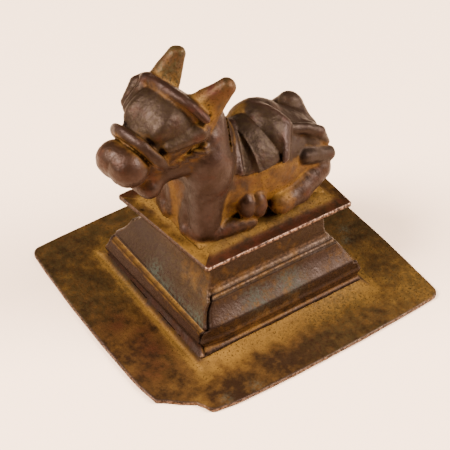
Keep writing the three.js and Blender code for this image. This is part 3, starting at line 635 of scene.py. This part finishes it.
def make_bull():
    """The bull's field skinned on a fine grid, drawn onto the true surface, then dented by noise."""
    spans = ((-18, 18), (-43, 28), (-2, 50))
    axes = [np.arange(low, high, BULL_CELL) for low, high in spans]
    points, faces = grid_skin(grid_values(bull_field, axes), axes)
    points = draw_onto(bull_field, points)
    normal, _ = field_normal(bull_field, points, 0.2)
    masks = bull_masks(points, normal)
    dents = BULL_DENTS * rough(points, 3.4, 11) + BULL_GRAIN * rough(points, 1.2, 23)
    points = (points + dents[:, None] * normal) * BULL_SCALE
    points[:, :2] += SLAB_MIDDLE
    points[:, 2] += SLAB_TOP
    return lay_mesh("bull", points, faces, masks)


# Plinth, slab and plate are one surface: a profile carried round, from the roof of the hollow
# down to the underside, out to the plate's edge, back to the plinth and up to the slab


def ring_template():
    """Places round a ring, anticlockwise: their share of the straight halves, and of the corner
    radius. A ring is share * (half - radius) + turn * radius."""
    t = np.linspace(-1, 1, RING_PER_SIDE + 1)[:-1]
    angle = np.linspace(0, math.pi / 2, RING_PER_CORNER + 1)[:-1]
    share = np.concatenate([np.stack([np.ones_like(t), t], -1), np.ones((len(angle), 2))])
    side_turn = np.stack([np.ones_like(t), np.zeros_like(t)], -1)
    turn = np.concatenate([side_turn, np.stack([np.cos(angle), np.sin(angle)], -1)])
    quarter = np.array([[0, -1], [1, 0]])
    shares, turns = [share], [turn]
    for _ in range(3):
        shares.append(shares[-1] @ quarter.T)
        turns.append(turns[-1] @ quarter.T)
    return np.concatenate(shares), np.concatenate(turns)


SHARE, TURN = ring_template()


def ring(half_x, half_y, radius=EDGE_ROUND):
    half = np.array([half_x, half_y])
    return SHARE * (half - radius) + TURN * radius


def plate_ring(inset):
    """The plate's outline: bowed sides, rounded corners, and the ragged broken corner."""
    half = np.array([PLATE_WIDTH, PLATE_DEPTH]) / 2 - PLATE_BOW - inset
    places = SHARE * (half - PLATE_CORNER) + TURN * PLATE_CORNER
    places = places + TURN * PLATE_BOW * (1 - np.min(np.abs(SHARE), axis=1, keepdims=True) ** 2)
    broken = np.array([PLATE_WIDTH, -PLATE_DEPTH]) / 2 + BROKEN_EDGE * (-1, 1)
    along = broken[-1] - broken[0]
    inward = np.array([along[1], -along[0]]) / np.hypot(*along)
    reach = (places - broken[0]) @ along
    depth = np.interp(reach, (broken - broken[0]) @ along, (broken - broken[0]) @ inward)
    chips = 0.12 * rough(np.stack([reach / 25, reach * 0, reach * 0], -1), 1.0, 5)
    beyond = depth + chips + inset - (places - broken[0]) @ inward
    return places + np.maximum(beyond, 0)[:, None] * inward, beyond > 0


def slab_ring(inset):
    """The slab's outline, its front and back edges cut askew."""
    half_x, half_y = SLAB_WIDTH / 2 - inset, SLAB_DEPTH / 2 - inset
    places = ring(half_x, half_y)
    to_left = (1 + places[:, 0] / half_x) / 2
    to_front = (1 - places[:, 1] / half_y) / 2
    places[:, 1] += to_left * (to_front * SLAB_FRONT_SKEW - (1 - to_front) * SLAB_BACK_SKEW)
    return places


def plinth_ring(half_x, half_y, z):
    """One ring of the plinth, its front turned askew by the amount for its height."""
    places = ring(half_x, half_y)
    to_front = (1 - places[:, 1] / half_y) / 2
    places[:, 1] += to_front * np.interp(z, *PLINTH_SKEW.T) * places[:, 0] / (2 * half_x)
    return PLINTH_MIDDLE + places


def outside_foot(x, y):
    """How far places lie outside the plinth's foot, across and along."""
    across = (x - PLINTH_MIDDLE[0]) / LIP_WIDTH
    out_x = (np.abs(across) - 0.5) * LIP_WIDTH
    askew = (y < 0) * PLINTH_SKEW[0, 1] * np.clip(across, -0.5, 0.5)
    return out_x, np.abs(y - PLINTH_MIDDLE[1]) - FOOT_DEPTH / 2 + askew


def plinth_levels():
    """Height, half width and half depth of the mouldings. The long sides have a lip, two reeds,
    an upright band and a hollow slope under two fillets; the front and back have a hollow over
    the foot, a bead that stands out over it and leans in, and a panel that sweeps into the neck."""
    lip_x, lip_y = LIP_WIDTH / 2, LIP_DEPTH / 2
    low_x, low_y = PANEL_FOOT_WIDTH / 2, PANEL_FOOT_DEPTH / 2
    high_x, high_y = PANEL_TOP_WIDTH / 2, PANEL_TOP_DEPTH / 2
    neck_x, neck_y = NECK_WIDTH / 2, NECK_DEPTH / 2
    foot_y, reed = FOOT_DEPTH / 2, GROOVE / 2
    side = [(PLATE_THICK + COVE_HEIGHT, lip_x - reed), (LIP_HEIGHT - 0.1, lip_x), (LIP_HEIGHT + 0.4, lip_x)]
    for share, out in ((0.24, -0.2), (0.38, 0.4), (0.54, -0.1), (0.7, 0.4), (0.85, 0)):
        z = LIP_HEIGHT + share * (REEDS_TOP_HEIGHT - LIP_HEIGHT)
        side.append((z, BEAD_WIDTH / 2 + out * reed))
    side += [(REEDS_TOP_HEIGHT, low_x), (SHOULDER_HEIGHT, low_x)]
    for t in np.linspace(0.06, 1, 7):
        z = SHOULDER_HEIGHT + t * (PANEL_TOP_HEIGHT - SHOULDER_HEIGHT)
        side.append((z, high_x + (low_x - high_x) * (1 - t) ** 1.6))
    front = [
        (PLATE_THICK + COVE_HEIGHT, foot_y),
        (BEAD_LOW_HEIGHT - 1.6, foot_y - COVE_DEPTH_FRONT),
        (BEAD_LOW_HEIGHT - 0.3, foot_y - COVE_DEPTH_FRONT),
        (BEAD_LOW_HEIGHT, lip_y - 0.1),
        (BEAD_LOW_HEIGHT + 0.5, lip_y),
        (BEAD_TOP_HEIGHT, BEAD_DEPTH / 2),
        (BEAD_TOP_HEIGHT + 0.3, low_y - reed),
        (PANEL_FOOT_HEIGHT, low_y),
        (PANEL_TOP_HEIGHT, high_y),
    ]
    step = NECK_FOOT_HEIGHT - PANEL_TOP_HEIGHT
    mid_x = high_x - 1.6 * GROOVE
    fillets = ((0.15, high_x), (0.25, mid_x), (0.5, mid_x), (0.62, neck_x + 0.5), (1, neck_x), (2, neck_x))
    for share, half_x in fillets:
        z = PANEL_TOP_HEIGHT + share * step
        side.append((z, half_x))
        front.append((z, neck_y + (high_y - neck_y) * (1 - share / 2) ** 2))
    for z, out in ((SLAB_UNDER_HEIGHT - GROOVE, 0), (SLAB_UNDER_HEIGHT, GROOVE)):
        side.append((z, neck_x + out))
        front.append((z, neck_y + out))
    side, front = np.array(side), np.array(front)
    heights = np.union1d(side[:, 0], front[:, 0])
    return np.stack([heights, np.interp(heights, *side.T), np.interp(heights, *front.T)], -1)


def eased(levels, step, passes):
    """The levels as a line of even steps, with its corners softened by averaging neighbours."""
    gaps = length(np.diff(levels, axis=0))
    reach = np.concatenate([[0], np.cumsum(gaps)])
    places = np.linspace(0, reach[-1], int(reach[-1] / step) + 1)
    line = np.stack([np.interp(places, reach, column) for column in levels.T], -1)
    for _ in range(passes):
        line[1:-1] = (line[:-2] + 2 * line[1:-1] + line[2:]) / 4
    return line


def swept(line, low, high, passes):
    """The line with its half depths softened between two heights, as a function of height."""
    heights = np.arange(line[0, 0], line[-1, 0], 0.15)
    depths = np.interp(heights, line[:, 0], line[:, 2])
    inside = ((heights[1:-1] > low) & (heights[1:-1] < high)) * 0.25
    for _ in range(passes):
        depths[1:-1] += inside * (depths[:-2] - 2 * depths[1:-1] + depths[2:])
    line[:, 2] = np.interp(line[:, 0], heights, depths)
    return line


def base_rows():
    """Rows of the profile from the hollow's roof to the middle of the slab, and the names of
    the stretches that they belong to."""
    rows, kinds = [], []

    def add(kind, places, z):
        rows.append(np.column_stack([places, np.broadcast_to(z, len(places))]))
        kinds.append(kind)

    wall_x, wall_y = NECK_WIDTH / 2 - WALL, NECK_DEPTH / 2 - WALL
    mouth_x = PANEL_FOOT_WIDTH / 2 - GROOVE - WALL
    mouth_y = PANEL_FOOT_DEPTH / 2 - WALL
    roof = SLAB_UNDER_HEIGHT - ROOF
    for share in (0.02, 0.5, 0.97):
        add("hollow", PLINTH_MIDDLE + share * ring(wall_x, wall_y), roof)
    hollow = np.array([
        (roof, wall_x, wall_y),
        (NECK_FOOT_HEIGHT, wall_x, wall_y),
        (PANEL_TOP_HEIGHT, wall_x + GROOVE, PANEL_TOP_DEPTH / 2 - WALL),
        (HOLLOW_TURN_HEIGHT, mouth_x, mouth_y),
        (0, mouth_x, mouth_y),
    ])
    for z, half_x, half_y in eased(hollow, 2.4, 0):
        add("hollow", PLINTH_MIDDLE + ring(half_x, half_y), z)
    mouth = rows[-1][:, :2]
    under, _ = plate_ring(PLATE_EDGE_ROUND)
    for share in (0.33, 0.67, 1):
        add("under", mouth + share * (under - mouth), 0)
    for inset, z in ((0, PLATE_EDGE_ROUND), (0, PLATE_THICK / 2), (0, PLATE_THICK - PLATE_EDGE_ROUND)):
        add("edge", plate_ring(inset)[0], z)
    outer, _ = plate_ring(PLATE_EDGE_ROUND)
    foot = plinth_ring(LIP_WIDTH / 2 - GROOVE / 2, FOOT_DEPTH / 2, PLATE_THICK)
    for share in np.linspace(1, 0, 40) ** 1.3:
        places = foot + share * (outer - foot)
        out_x, out_y = outside_foot(*places.T)
        side_t = np.clip(1 - (out_x + GROOVE / 2) / COVE_REACH_SIDE, 0, 1)
        front_t = np.clip(1 - out_y / COVE_REACH_FRONT, 0, 1)
        add("plate", places, PLATE_THICK + COVE_HEIGHT * np.minimum(side_t, front_t) ** 2.2)
    profile = swept(eased(plinth_levels(), PROFILE_STEP, 1), 10, 23, 160)
    for z, half_x, half_y in profile:
        add("plinth", plinth_ring(half_x, half_y, z), z)
    neck = rows[-1][:, :2]
    lip = SLAB_THICK / 4
    under_slab = SLAB_MIDDLE + slab_ring(lip)
    for share in (0.35, 0.7, 1):
        add("slab_under", neck + share * (under_slab - neck), SLAB_UNDER_HEIGHT)
    for inset, z in ((0.1, lip * 0.4), (0, lip), (0, SLAB_THICK - lip), (0.1, SLAB_THICK - lip * 0.4)):
        add("slab_edge", SLAB_MIDDLE + slab_ring(inset), SLAB_UNDER_HEIGHT + z)
    for inset in (*np.linspace(lip, 7.4, 22), 10, 14, 17.5):
        mound = MOUND_HEIGHT * past(inset, 1.8, 5)
        add("slab_top", SLAB_MIDDLE + slab_ring(inset), SLAB_TOP + mound)
    return np.array(rows), np.array(kinds)


def sheet_normals(surface):
    """Normals of a surface of rows, from the steps round each row and from row to row."""
    round_step = np.roll(surface, -1, axis=1) - np.roll(surface, 1, axis=1)
    row_step = np.gradient(surface, axis=0)
    normal = np.cross(round_step, row_step)
    return normal / np.maximum(length(normal), 1e-9)[..., None]


def spots(points, places, reach):
    """Bells round some places, the strongest of them at each point."""
    return np.max([bump(length(points - np.array(place)), reach) for place in places], axis=0)


def base_parts(surface, on, side, cloud):
    """Shares of the parts of plinth, slab and plate at each point, mostly from 0 to 1. on holds
    the stretches of the profile, and side is 1 on the long sides."""
    x, y, z = np.moveaxis(surface, -1, 0)
    out_x, out_y = outside_foot(x, y)
    front = 1 - side
    aside = smooth(0.5 + (out_x - out_y) / 6)
    before = on["plate"] * (1 - aside)
    out = np.hypot(np.maximum(out_x, 0), np.maximum(out_y, 0))
    cove = on["plate"] * smooth(1.25 - out / 8)
    slope = smooth((z - PANEL_FOOT_HEIGHT) / 8 + (x - 4) / 30)
    mound = on["slab_top"] * past(z, SLAB_TOP, 0.5)
    panel = on["plinth"] * front * (z > PANEL_FOOT_HEIGHT - 0.3)
    bead = on["plinth"] * front - panel
    reeds = on["plinth"] * side * (z <= REEDS_TOP_HEIGHT - 0.3)
    above = on["plinth"] * side * (z > PANEL_TOP_HEIGHT - 0.4)
    swell = on["plinth"] * side - reeds - above
    worn_edge = on["slab_edge"] * (z > SLAB_TOP - 0.7)
    return {
        "plate": on["plate"],
        "side_cove": cove * aside,
        "front_cove": cove * (1 - aside),
        # Painted highlight: a bright golden line along the low ridge in front of the foot
        "ridge": before * bump(out_y - 0.9 * COVE_REACH_FRONT, 0.8),
        # Painted shade: the plate is darkened in a band along the front's foot, under the lip
        "painted_shade_at_foot": before * short_of(out_y, 1, 1),
        "painted_shadow_at_foot": before * short_of(out_y, 1.3, 1),
        "golden_corner": on["plate"] * bump(np.hypot(x - 32, y - 37), 16),
        "dull_side": on["plate"] * bump(np.hypot((x - 34) * 1.6, y + 1), 12),
        "far_plate": on["plate"] * (past(y + x * 0.4, 8, 18) + short_of(x + y * 0.2, -4, 18)),
        "cloudy_plate": on["plate"] * cloud,
        "red_clouds": on["plate"] * np.maximum(cloud, 0),
        "stains": on["plate"] * spots(surface, STAINS, 4.5),
        "smudges": on["plate"] * spots(surface, SMUDGES, 1.1),
        "green_dots": on["plate"] * spots(surface, GREEN_DOTS, 1.6),
        "plate_edge": on["edge"],
        "panel": panel,
        "panel_slope": panel * slope,
        "low_panel": panel * (1 - slope),
        "green_patches": panel * spots(surface, GREEN_PATCHES, 3.4),
        "bead": bead,
        "bead_top": bead * past(z, BEAD_TOP_HEIGHT - 1.0, 0.7),
        # Painted shade: the hollow under the bead's lip is coloured dark orange-brown
        "painted_shade_under_bead": bead * (z < BEAD_LOW_HEIGHT),
        "reeds": reeds,
        "swell": swell,
        "green_swell": swell * spots(surface, GREEN_ON_SIDE, 4.5),
        "above": above,
        "slab_edge": on["slab_edge"],
        "near_slab_edge": worn_edge * side * (x > 0),
        "front_slab_edge": worn_edge * front,
        "mound": mound,
        "band": (on["slab_top"] - mound) * side,
        "apron": on["slab_top"] * front * (y < 0) * (0.3 + 0.7 * past(x, -9, 8)),
    }


def bend_along(surface, normal):
    """How far each row lies below the line between its neighbours: above zero in a groove, below
    zero on a ridge."""
    bend = np.zeros(surface.shape[:2])
    steps = surface[2:] - 2 * surface[1:-1] + surface[:-2]
    bend[1:-1] = (steps * normal[1:-1]).sum(-1)
    return bend


def closed_faces(rows, count):
    """Four-sided faces between neighbouring rows, and a fan from one added point at each end."""
    number = np.arange(rows * count).reshape(rows, count)
    following = np.roll(number, -1, axis=1)
    quads = np.stack([number[:-1], following[:-1], following[1:], number[1:]], -1).reshape(-1, 4)
    first, last = number.size, number.size + 1
    low_fan = np.stack([np.full(count, first), following[0], number[0]], -1)
    high_fan = np.stack([np.full(count, last), number[-1], following[-1]], -1)
    return quads.tolist() + low_fan.tolist() + high_fan.tolist()


def make_plinth_and_plate():
    """The rows joined to each other and closed at both ends, with the crack at the near corner,
    the ragged slab edge, the pits and the patina's masks."""
    surface, kinds = base_rows()
    on = {kind: (kinds == kind)[:, None] * 1.0 for kind in set(kinds)}
    side = (np.abs(SHARE[:, 0]) > 0.999) * 1.0
    front = 1 - side
    normal = sheet_normals(surface)
    x, y, z = np.moveaxis(surface, -1, 0)
    out_y = outside_foot(x, y)[1]
    bend = bend_along(surface, normal)
    cloud = rough(surface, 9.0, 71, 4)
    flecks = rough(surface, 1.1, 83)

    # The near corner, where the front panel's end stands off the side
    corner = PLINTH_MIDDLE + np.array([PANEL_FOOT_WIDTH, -PANEL_FOOT_DEPTH]) / 2
    behind = y - y.min(axis=1, keepdims=True) - 0.35 * rough(surface, 2.2, 47)
    height = past(z, 2.6, 2) * short_of(z, NECK_FOOT_HEIGHT, 2)
    crack = on["plinth"] * side * (x > 0) * height * bump(behind - 1.0 - 0.25 * flecks, 0.45)
    pull = on["plinth"] * height * bump(np.hypot(x - corner[0], y - corner[1]), 3.2)
    holes = on["slab_top"] * spots(surface, PITS, PIT_REACH)

    shown = 1 - on["hollow"] - on["under"]
    rise = shown * (WAVES * rough(surface, 7.0, 31) + GRAIN * rough(surface, 1.6, 37))
    rise = rise - CRACK_DEPTH * crack - PIT_DEPTH * holes
    rise = rise + FOOT_RIDGE * on["plate"] * front * bump(out_y - COVE_REACH_FRONT, 0.7)
    rise = rise + RAGGED_EDGE * on["slab_edge"] * side * rough(surface, 0.8, 41)

    parts = base_parts(surface, on, side, cloud)
    tone = weighed(parts, BASE_TONE) + 2.0 * bend * (1 - on["slab_edge"])
    tone = tone + (0.6 - 0.3 * on["plate"]) * cloud
    bare = weighed(parts, BASE_BARE) + 0.15 * parts["above"] * smooth(12 * bend)
    bare = bare + 0.3 * parts["reeds"] * bump(z - LIP_HEIGHT - 0.1, 0.3)
    crests = on["plinth"] * (side + (z > BEAD_LOW_HEIGHT - 0.6) * front) * smooth(-9 * bend - 0.35)
    specks = parts["bead"] * spots(surface, BLACK_SPECKS, 1.6) * smooth(3 * flecks)
    masks = {
        "tone": tone,
        "olive": weighed(parts, BASE_OLIVE),
        "red": weighed(parts, BASE_RED),
        "bare": bare,
        # Painted shade: the crack and the pits are darkened; the crest lines and the specks are dark dirt
        "dirt_and_shade": weighed(parts, BASE_DIRT_AND_SHADE) + 1.5 * crack + 1.3 * holes + 0.8 * crests + specks,
        "green": weighed(parts, BASE_GREEN) * smooth(1.1 + 1.6 * flecks),
    }
    surface[..., 0] -= CORNER_PULL * pull
    surface = surface + rise[..., None] * normal
    ends = [surface[0].mean(0), surface[-1].mean(0)]
    points = np.concatenate([surface.reshape(-1, 3), ends])
    masks = {
        name: np.append(np.broadcast_to(mask, x.shape).reshape(-1), [0, 0])
        for name, mask in masks.items()
    }
    return lay_mesh("plinth_and_plate", points, closed_faces(*x.shape), masks)


# Materials


def add_node(tree, kind, place=(0, 0), **settings):
    """A shader node with its properties set; a setting whose name is an input sets that input."""
    node = tree.nodes.new(kind)
    node.location = place
    for name, value in settings.items():
        if hasattr(node, name):
            setattr(node, name, value)
        else:
            node.inputs[name.replace("_", " ")].default_value = value
    return node


def colour(red, green, blue):
    return (red, green, blue, 1.0)


PATINA = (
    (0.0, colour(0.020, 0.008, 0.004)),
    (0.40, colour(0.018, 0.0066, 0.0012)),
    (0.66, colour(0.058, 0.024, 0.0032)),
    (1.0, colour(0.130, 0.062, 0.009)),
)
OLIVE = colour(0.036, 0.022, 0.005)
RED_BROWN = colour(0.034, 0.007, 0.0015)
COPPER = colour(0.26, 0.14, 0.085)
VERDIGRIS = colour(0.022, 0.025, 0.014)
# Near black, for dirt and for painted shade
DIRT_AND_SHADE_COLOUR = colour(0.006, 0.003, 0.002)
MASKS = ("tone", "olive", "red", "bare", "dirt_and_shade", "green")

# Clouds in the patina: how many to a metre, their detail, and how far they move the tone
CLOUDS = {
    "broad": (110, 3, 1.7),
    "middling": (420, 4, 2.3),
    "fine": (2200, 3, 0.9),
    "grain": (1300, 4, 0),
}
# Place on the patina's ramp: the middle, and how far a tone of 1 moves it
RAMP_MIDDLE, RAMP_SWING = 0.5, 0.42
# Tints over the patina in their order: the cloud that breaks up the mask, its contrast and
# offset, and the colour
TINTS = {
    "olive": ("grain", 3.0, -0.9, OLIVE),
    "red": ("middling", 4.0, -1.5, RED_BROWN),
    "green": ("grain", 4.0, -1.4, VERDIGRIS),
    "bare": ("grain", 6.0, -2.5, COPPER),
}
# Black pores in golden places: contrast and offset of the fine cloud, and their strength
PORE_CONTRAST, PORE_OFFSET, PORE_STRENGTH = 6.0, -3.3, 0.8
DIRT_AND_SHADE_COVER = 0.9
# Roughness of the darkest places, and what gold, mottling, and the dirt, painted shade and verdigris masks
# add to it
ROUGHNESS, ROUGH_GOLD, ROUGH_MOTTLE, ROUGH_DIRT_AND_SHADE = 0.29, 0.24, 0.24, 0.3
# Metal share of the darkest places, and what gold, dirt and painted shade, and verdigris add to it
METAL, METAL_GOLD, METAL_DIRT_AND_SHADE, METAL_GREEN = 0.42, 0.2, 0.5, -0.6
RELIEF_STRENGTH, RELIEF_DEPTH = 0.5, 0.0002


def patina_group():
    """Colour, roughness, metal share and fine relief of old brass from its masks. tone runs from
    worn high places through brown flats to golden hollows; olive and red tint it; bare is rubbed
    metal, the dark mask is black dirt and painted shade, green is verdigris."""
    tree = bpy.data.node_groups.new("patina", "ShaderNodeTree")
    for mask in MASKS:
        tree.interface.new_socket(mask, in_out="INPUT", socket_type="NodeSocketFloat")
    tree.interface.new_socket("Color", in_out="OUTPUT", socket_type="NodeSocketColor")
    for name in ("Roughness", "Metallic", "Height"):
        tree.interface.new_socket(name, in_out="OUTPUT", socket_type="NodeSocketFloat")
    given = add_node(tree, "NodeGroupInput", (-1400, 0)).outputs
    ends_out = add_node(tree, "NodeGroupOutput", (900, 0))
    where = add_node(tree, "ShaderNodeTexCoord", (-1400, -400))

    def cloud(scale, detail):
        node = add_node(tree, "ShaderNodeTexNoise", (-1150, 0), Scale=scale, Detail=detail)
        tree.links.new(where.outputs["Object"], node.inputs["Vector"])
        return node.outputs["Fac"]

    def fill(sockets, values):
        for socket, value in zip(sockets, values):
            if isinstance(value, (int, float, tuple)):
                socket.default_value = value
            else:
                tree.links.new(value, socket)

    def maths(operation, a, b=0.0, c=0.0, clamp=False):
        node = add_node(tree, "ShaderNodeMath", operation=operation, use_clamp=clamp)
        fill(node.inputs, (a, b, c))
        return node.outputs[0]

    def mixed(factor, a, b):
        node = add_node(tree, "ShaderNodeMix", data_type="RGBA")
        fill((node.inputs[0], node.inputs[6], node.inputs[7]), (factor, a, b))
        return node.outputs[2]

    clouds = {name: cloud(scale, detail) for name, (scale, detail, _) in CLOUDS.items()}
    tone = given["tone"]
    for name, (_, _, swing) in CLOUDS.items():
        if swing:
            tone = maths("MULTIPLY_ADD", maths("SUBTRACT", clouds[name], 0.5), swing, tone)
    share = maths("MULTIPLY_ADD", tone, RAMP_SWING, RAMP_MIDDLE, clamp=True)
    ramp = add_node(tree, "ShaderNodeValToRGB", (-200, 200))
    ramp.color_ramp.elements[0].position, ramp.color_ramp.elements[0].color = PATINA[0]
    ramp.color_ramp.elements[1].position, ramp.color_ramp.elements[1].color = PATINA[-1]
    for position, tint in PATINA[1:-1]:
        ramp.color_ramp.elements.new(position).color = tint
    tree.links.new(share, ramp.inputs["Fac"])
    body = ramp.outputs["Color"]
    spread = {}
    for mask, (name, contrast, offset, tint) in TINTS.items():
        broken = maths("MULTIPLY_ADD", clouds[name], contrast, offset, clamp=True)
        spread[mask] = maths("MULTIPLY", given[mask], broken, clamp=True)
        body = mixed(spread[mask], body, tint)
    pores = maths("MULTIPLY_ADD", clouds["fine"], PORE_CONTRAST, PORE_OFFSET, clamp=True)
    pores = maths("MULTIPLY", maths("MULTIPLY", pores, share), PORE_STRENGTH)
    dirt_and_shade = maths("MULTIPLY", maths("MAXIMUM", given["dirt_and_shade"], pores), DIRT_AND_SHADE_COVER, clamp=True)
    body = mixed(dirt_and_shade, body, DIRT_AND_SHADE_COLOUR)
    roughness = maths("MULTIPLY_ADD", share, ROUGH_GOLD, ROUGHNESS)
    roughness = maths("MULTIPLY_ADD", clouds["middling"], ROUGH_MOTTLE, roughness)
    roughness = maths("MULTIPLY_ADD", maths("MAXIMUM", spread["green"], dirt_and_shade), ROUGH_DIRT_AND_SHADE, roughness)
    metal = maths("MULTIPLY_ADD", share, METAL_GOLD, METAL, clamp=True)
    metal = maths("MULTIPLY_ADD", dirt_and_shade, METAL_DIRT_AND_SHADE, metal, clamp=True)
    metal = maths("MULTIPLY_ADD", spread["green"], METAL_GREEN, metal, clamp=True)
    height = maths("MULTIPLY_ADD", clouds["fine"], 0.4, clouds["grain"])
    fill(ends_out.inputs, (body, roughness, metal, height))
    return tree


def brass_material(group):
    """Old brass: the patina group on a half metallic base."""
    material = bpy.data.materials.new("old_brass")
    material.use_nodes = True
    tree = material.node_tree
    shader = tree.nodes["Principled BSDF"]
    shader.inputs["Specular IOR Level"].default_value = 0.22
    patina = add_node(tree, "ShaderNodeGroup", (-350, 200), node_tree=group)
    for n, mask in enumerate(MASKS):
        reader = add_node(tree, "ShaderNodeAttribute", (-650, 300 - 180 * n), attribute_name=mask)
        tree.links.new(reader.outputs["Fac"], patina.inputs[mask])
    relief = add_node(tree, "ShaderNodeBump", (-150, -200), Strength=RELIEF_STRENGTH, Distance=RELIEF_DEPTH)
    tree.links.new(patina.outputs["Height"], relief.inputs["Height"])
    tree.links.new(relief.outputs["Normal"], shader.inputs["Normal"])
    tree.links.new(patina.outputs["Color"], shader.inputs["Base Color"])
    tree.links.new(patina.outputs["Roughness"], shader.inputs["Roughness"])
    tree.links.new(patina.outputs["Metallic"], shader.inputs["Metallic"])
    return material


# Studio: camera, pale floor, soft light

CAMERA_AZIMUTH = math.radians(56)
CAMERA_ELEVATION = math.radians(42)
CAMERA_PLACE = Vector((0.2113, -0.1448, 0.2488))
LENS, SENSOR = 104.0, 36.0
# Each lamp's place along the camera's axes in metres (right, up, back), its width and its power
LAMPS = {"left": ((-0.64, 0.36, 0.60), 0.5, 44.0), "right": ((0.78, 0.38, 0.42), 0.7, 46.0)}
LAMP_TINT = (1.0, 0.93, 0.87)
FLOOR_REACH = 1.5
FLOOR_COLOUR = colour(0.97, 0.70, 0.50)
ROOM_COLOUR, ROOM_STRENGTH = colour(1.0, 0.96, 0.94), 0.12


def camera_axes():
    """Unit vectors to the right of the picture, up it, and from the object to the camera."""
    ca, sa = math.cos(CAMERA_AZIMUTH), math.sin(CAMERA_AZIMUTH)
    ce, se = math.cos(CAMERA_ELEVATION), math.sin(CAMERA_ELEVATION)
    back = Vector((sa * ce, -ca * ce, se))
    right = Vector((ca, sa, 0))
    return right, back.cross(right), back


def make_camera():
    data = bpy.data.cameras.new("camera")
    data.lens = LENS
    data.sensor_width = SENSOR
    data.clip_start = 0.01
    camera = bpy.data.objects.new("camera", data)
    bpy.context.scene.collection.objects.link(camera)
    turn = Matrix(camera_axes()).transposed().to_4x4()
    camera.matrix_world = Matrix.Translation(CAMERA_PLACE) @ turn
    bpy.context.scene.camera = camera


def make_lamp(name, place, size, power):
    """An area lamp placed along the camera's axes from the middle of the figure, facing it."""
    middle = (CAD_LOW + CAD_HIGH) / 2
    offset = sum((d * axis for d, axis in zip(place, camera_axes())), Vector())
    data = bpy.data.lights.new(name, "AREA")
    data.shape = "DISK"
    data.size = size
    data.energy = power
    data.color = LAMP_TINT
    lamp = bpy.data.objects.new(name, data)
    bpy.context.scene.collection.objects.link(lamp)
    turn = offset.to_track_quat("Z", "Y").to_matrix().to_4x4()
    lamp.matrix_world = Matrix.Translation(middle + offset) @ turn


def make_floor():
    """A level square of pale paper."""
    mesh = bpy.data.meshes.new("floor")
    corners = [(x * FLOOR_REACH, y * FLOOR_REACH, 0) for x, y in ((-1, -1), (1, -1), (1, 1), (-1, 1))]
    mesh.from_pydata(corners, [], [(0, 1, 2, 3)])
    floor = bpy.data.objects.new("floor", mesh)
    bpy.context.scene.collection.objects.link(floor)
    paper = bpy.data.materials.new("pale_paper")
    paper.use_nodes = True
    shader = paper.node_tree.nodes["Principled BSDF"]
    shader.inputs["Base Color"].default_value = FLOOR_COLOUR
    shader.inputs["Roughness"].default_value = 0.9
    mesh.materials.append(paper)


def make_studio():
    make_floor()
    for name, (place, size, power) in LAMPS.items():
        make_lamp(name, place, size, power)
    world = bpy.data.worlds.new("studio")
    bpy.context.scene.world = world
    world.use_nodes = True
    room = world.node_tree.nodes["Background"]
    room.inputs["Color"].default_value = ROOM_COLOUR
    room.inputs["Strength"].default_value = ROOM_STRENGTH


make_camera()
make_studio()
old_brass = brass_material(patina_group())
for piece in (make_bull(), make_plinth_and_plate()):
    piece.data.materials.append(old_brass)
    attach(piece, "root")
    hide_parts("nandi_on_stepped_plinth")
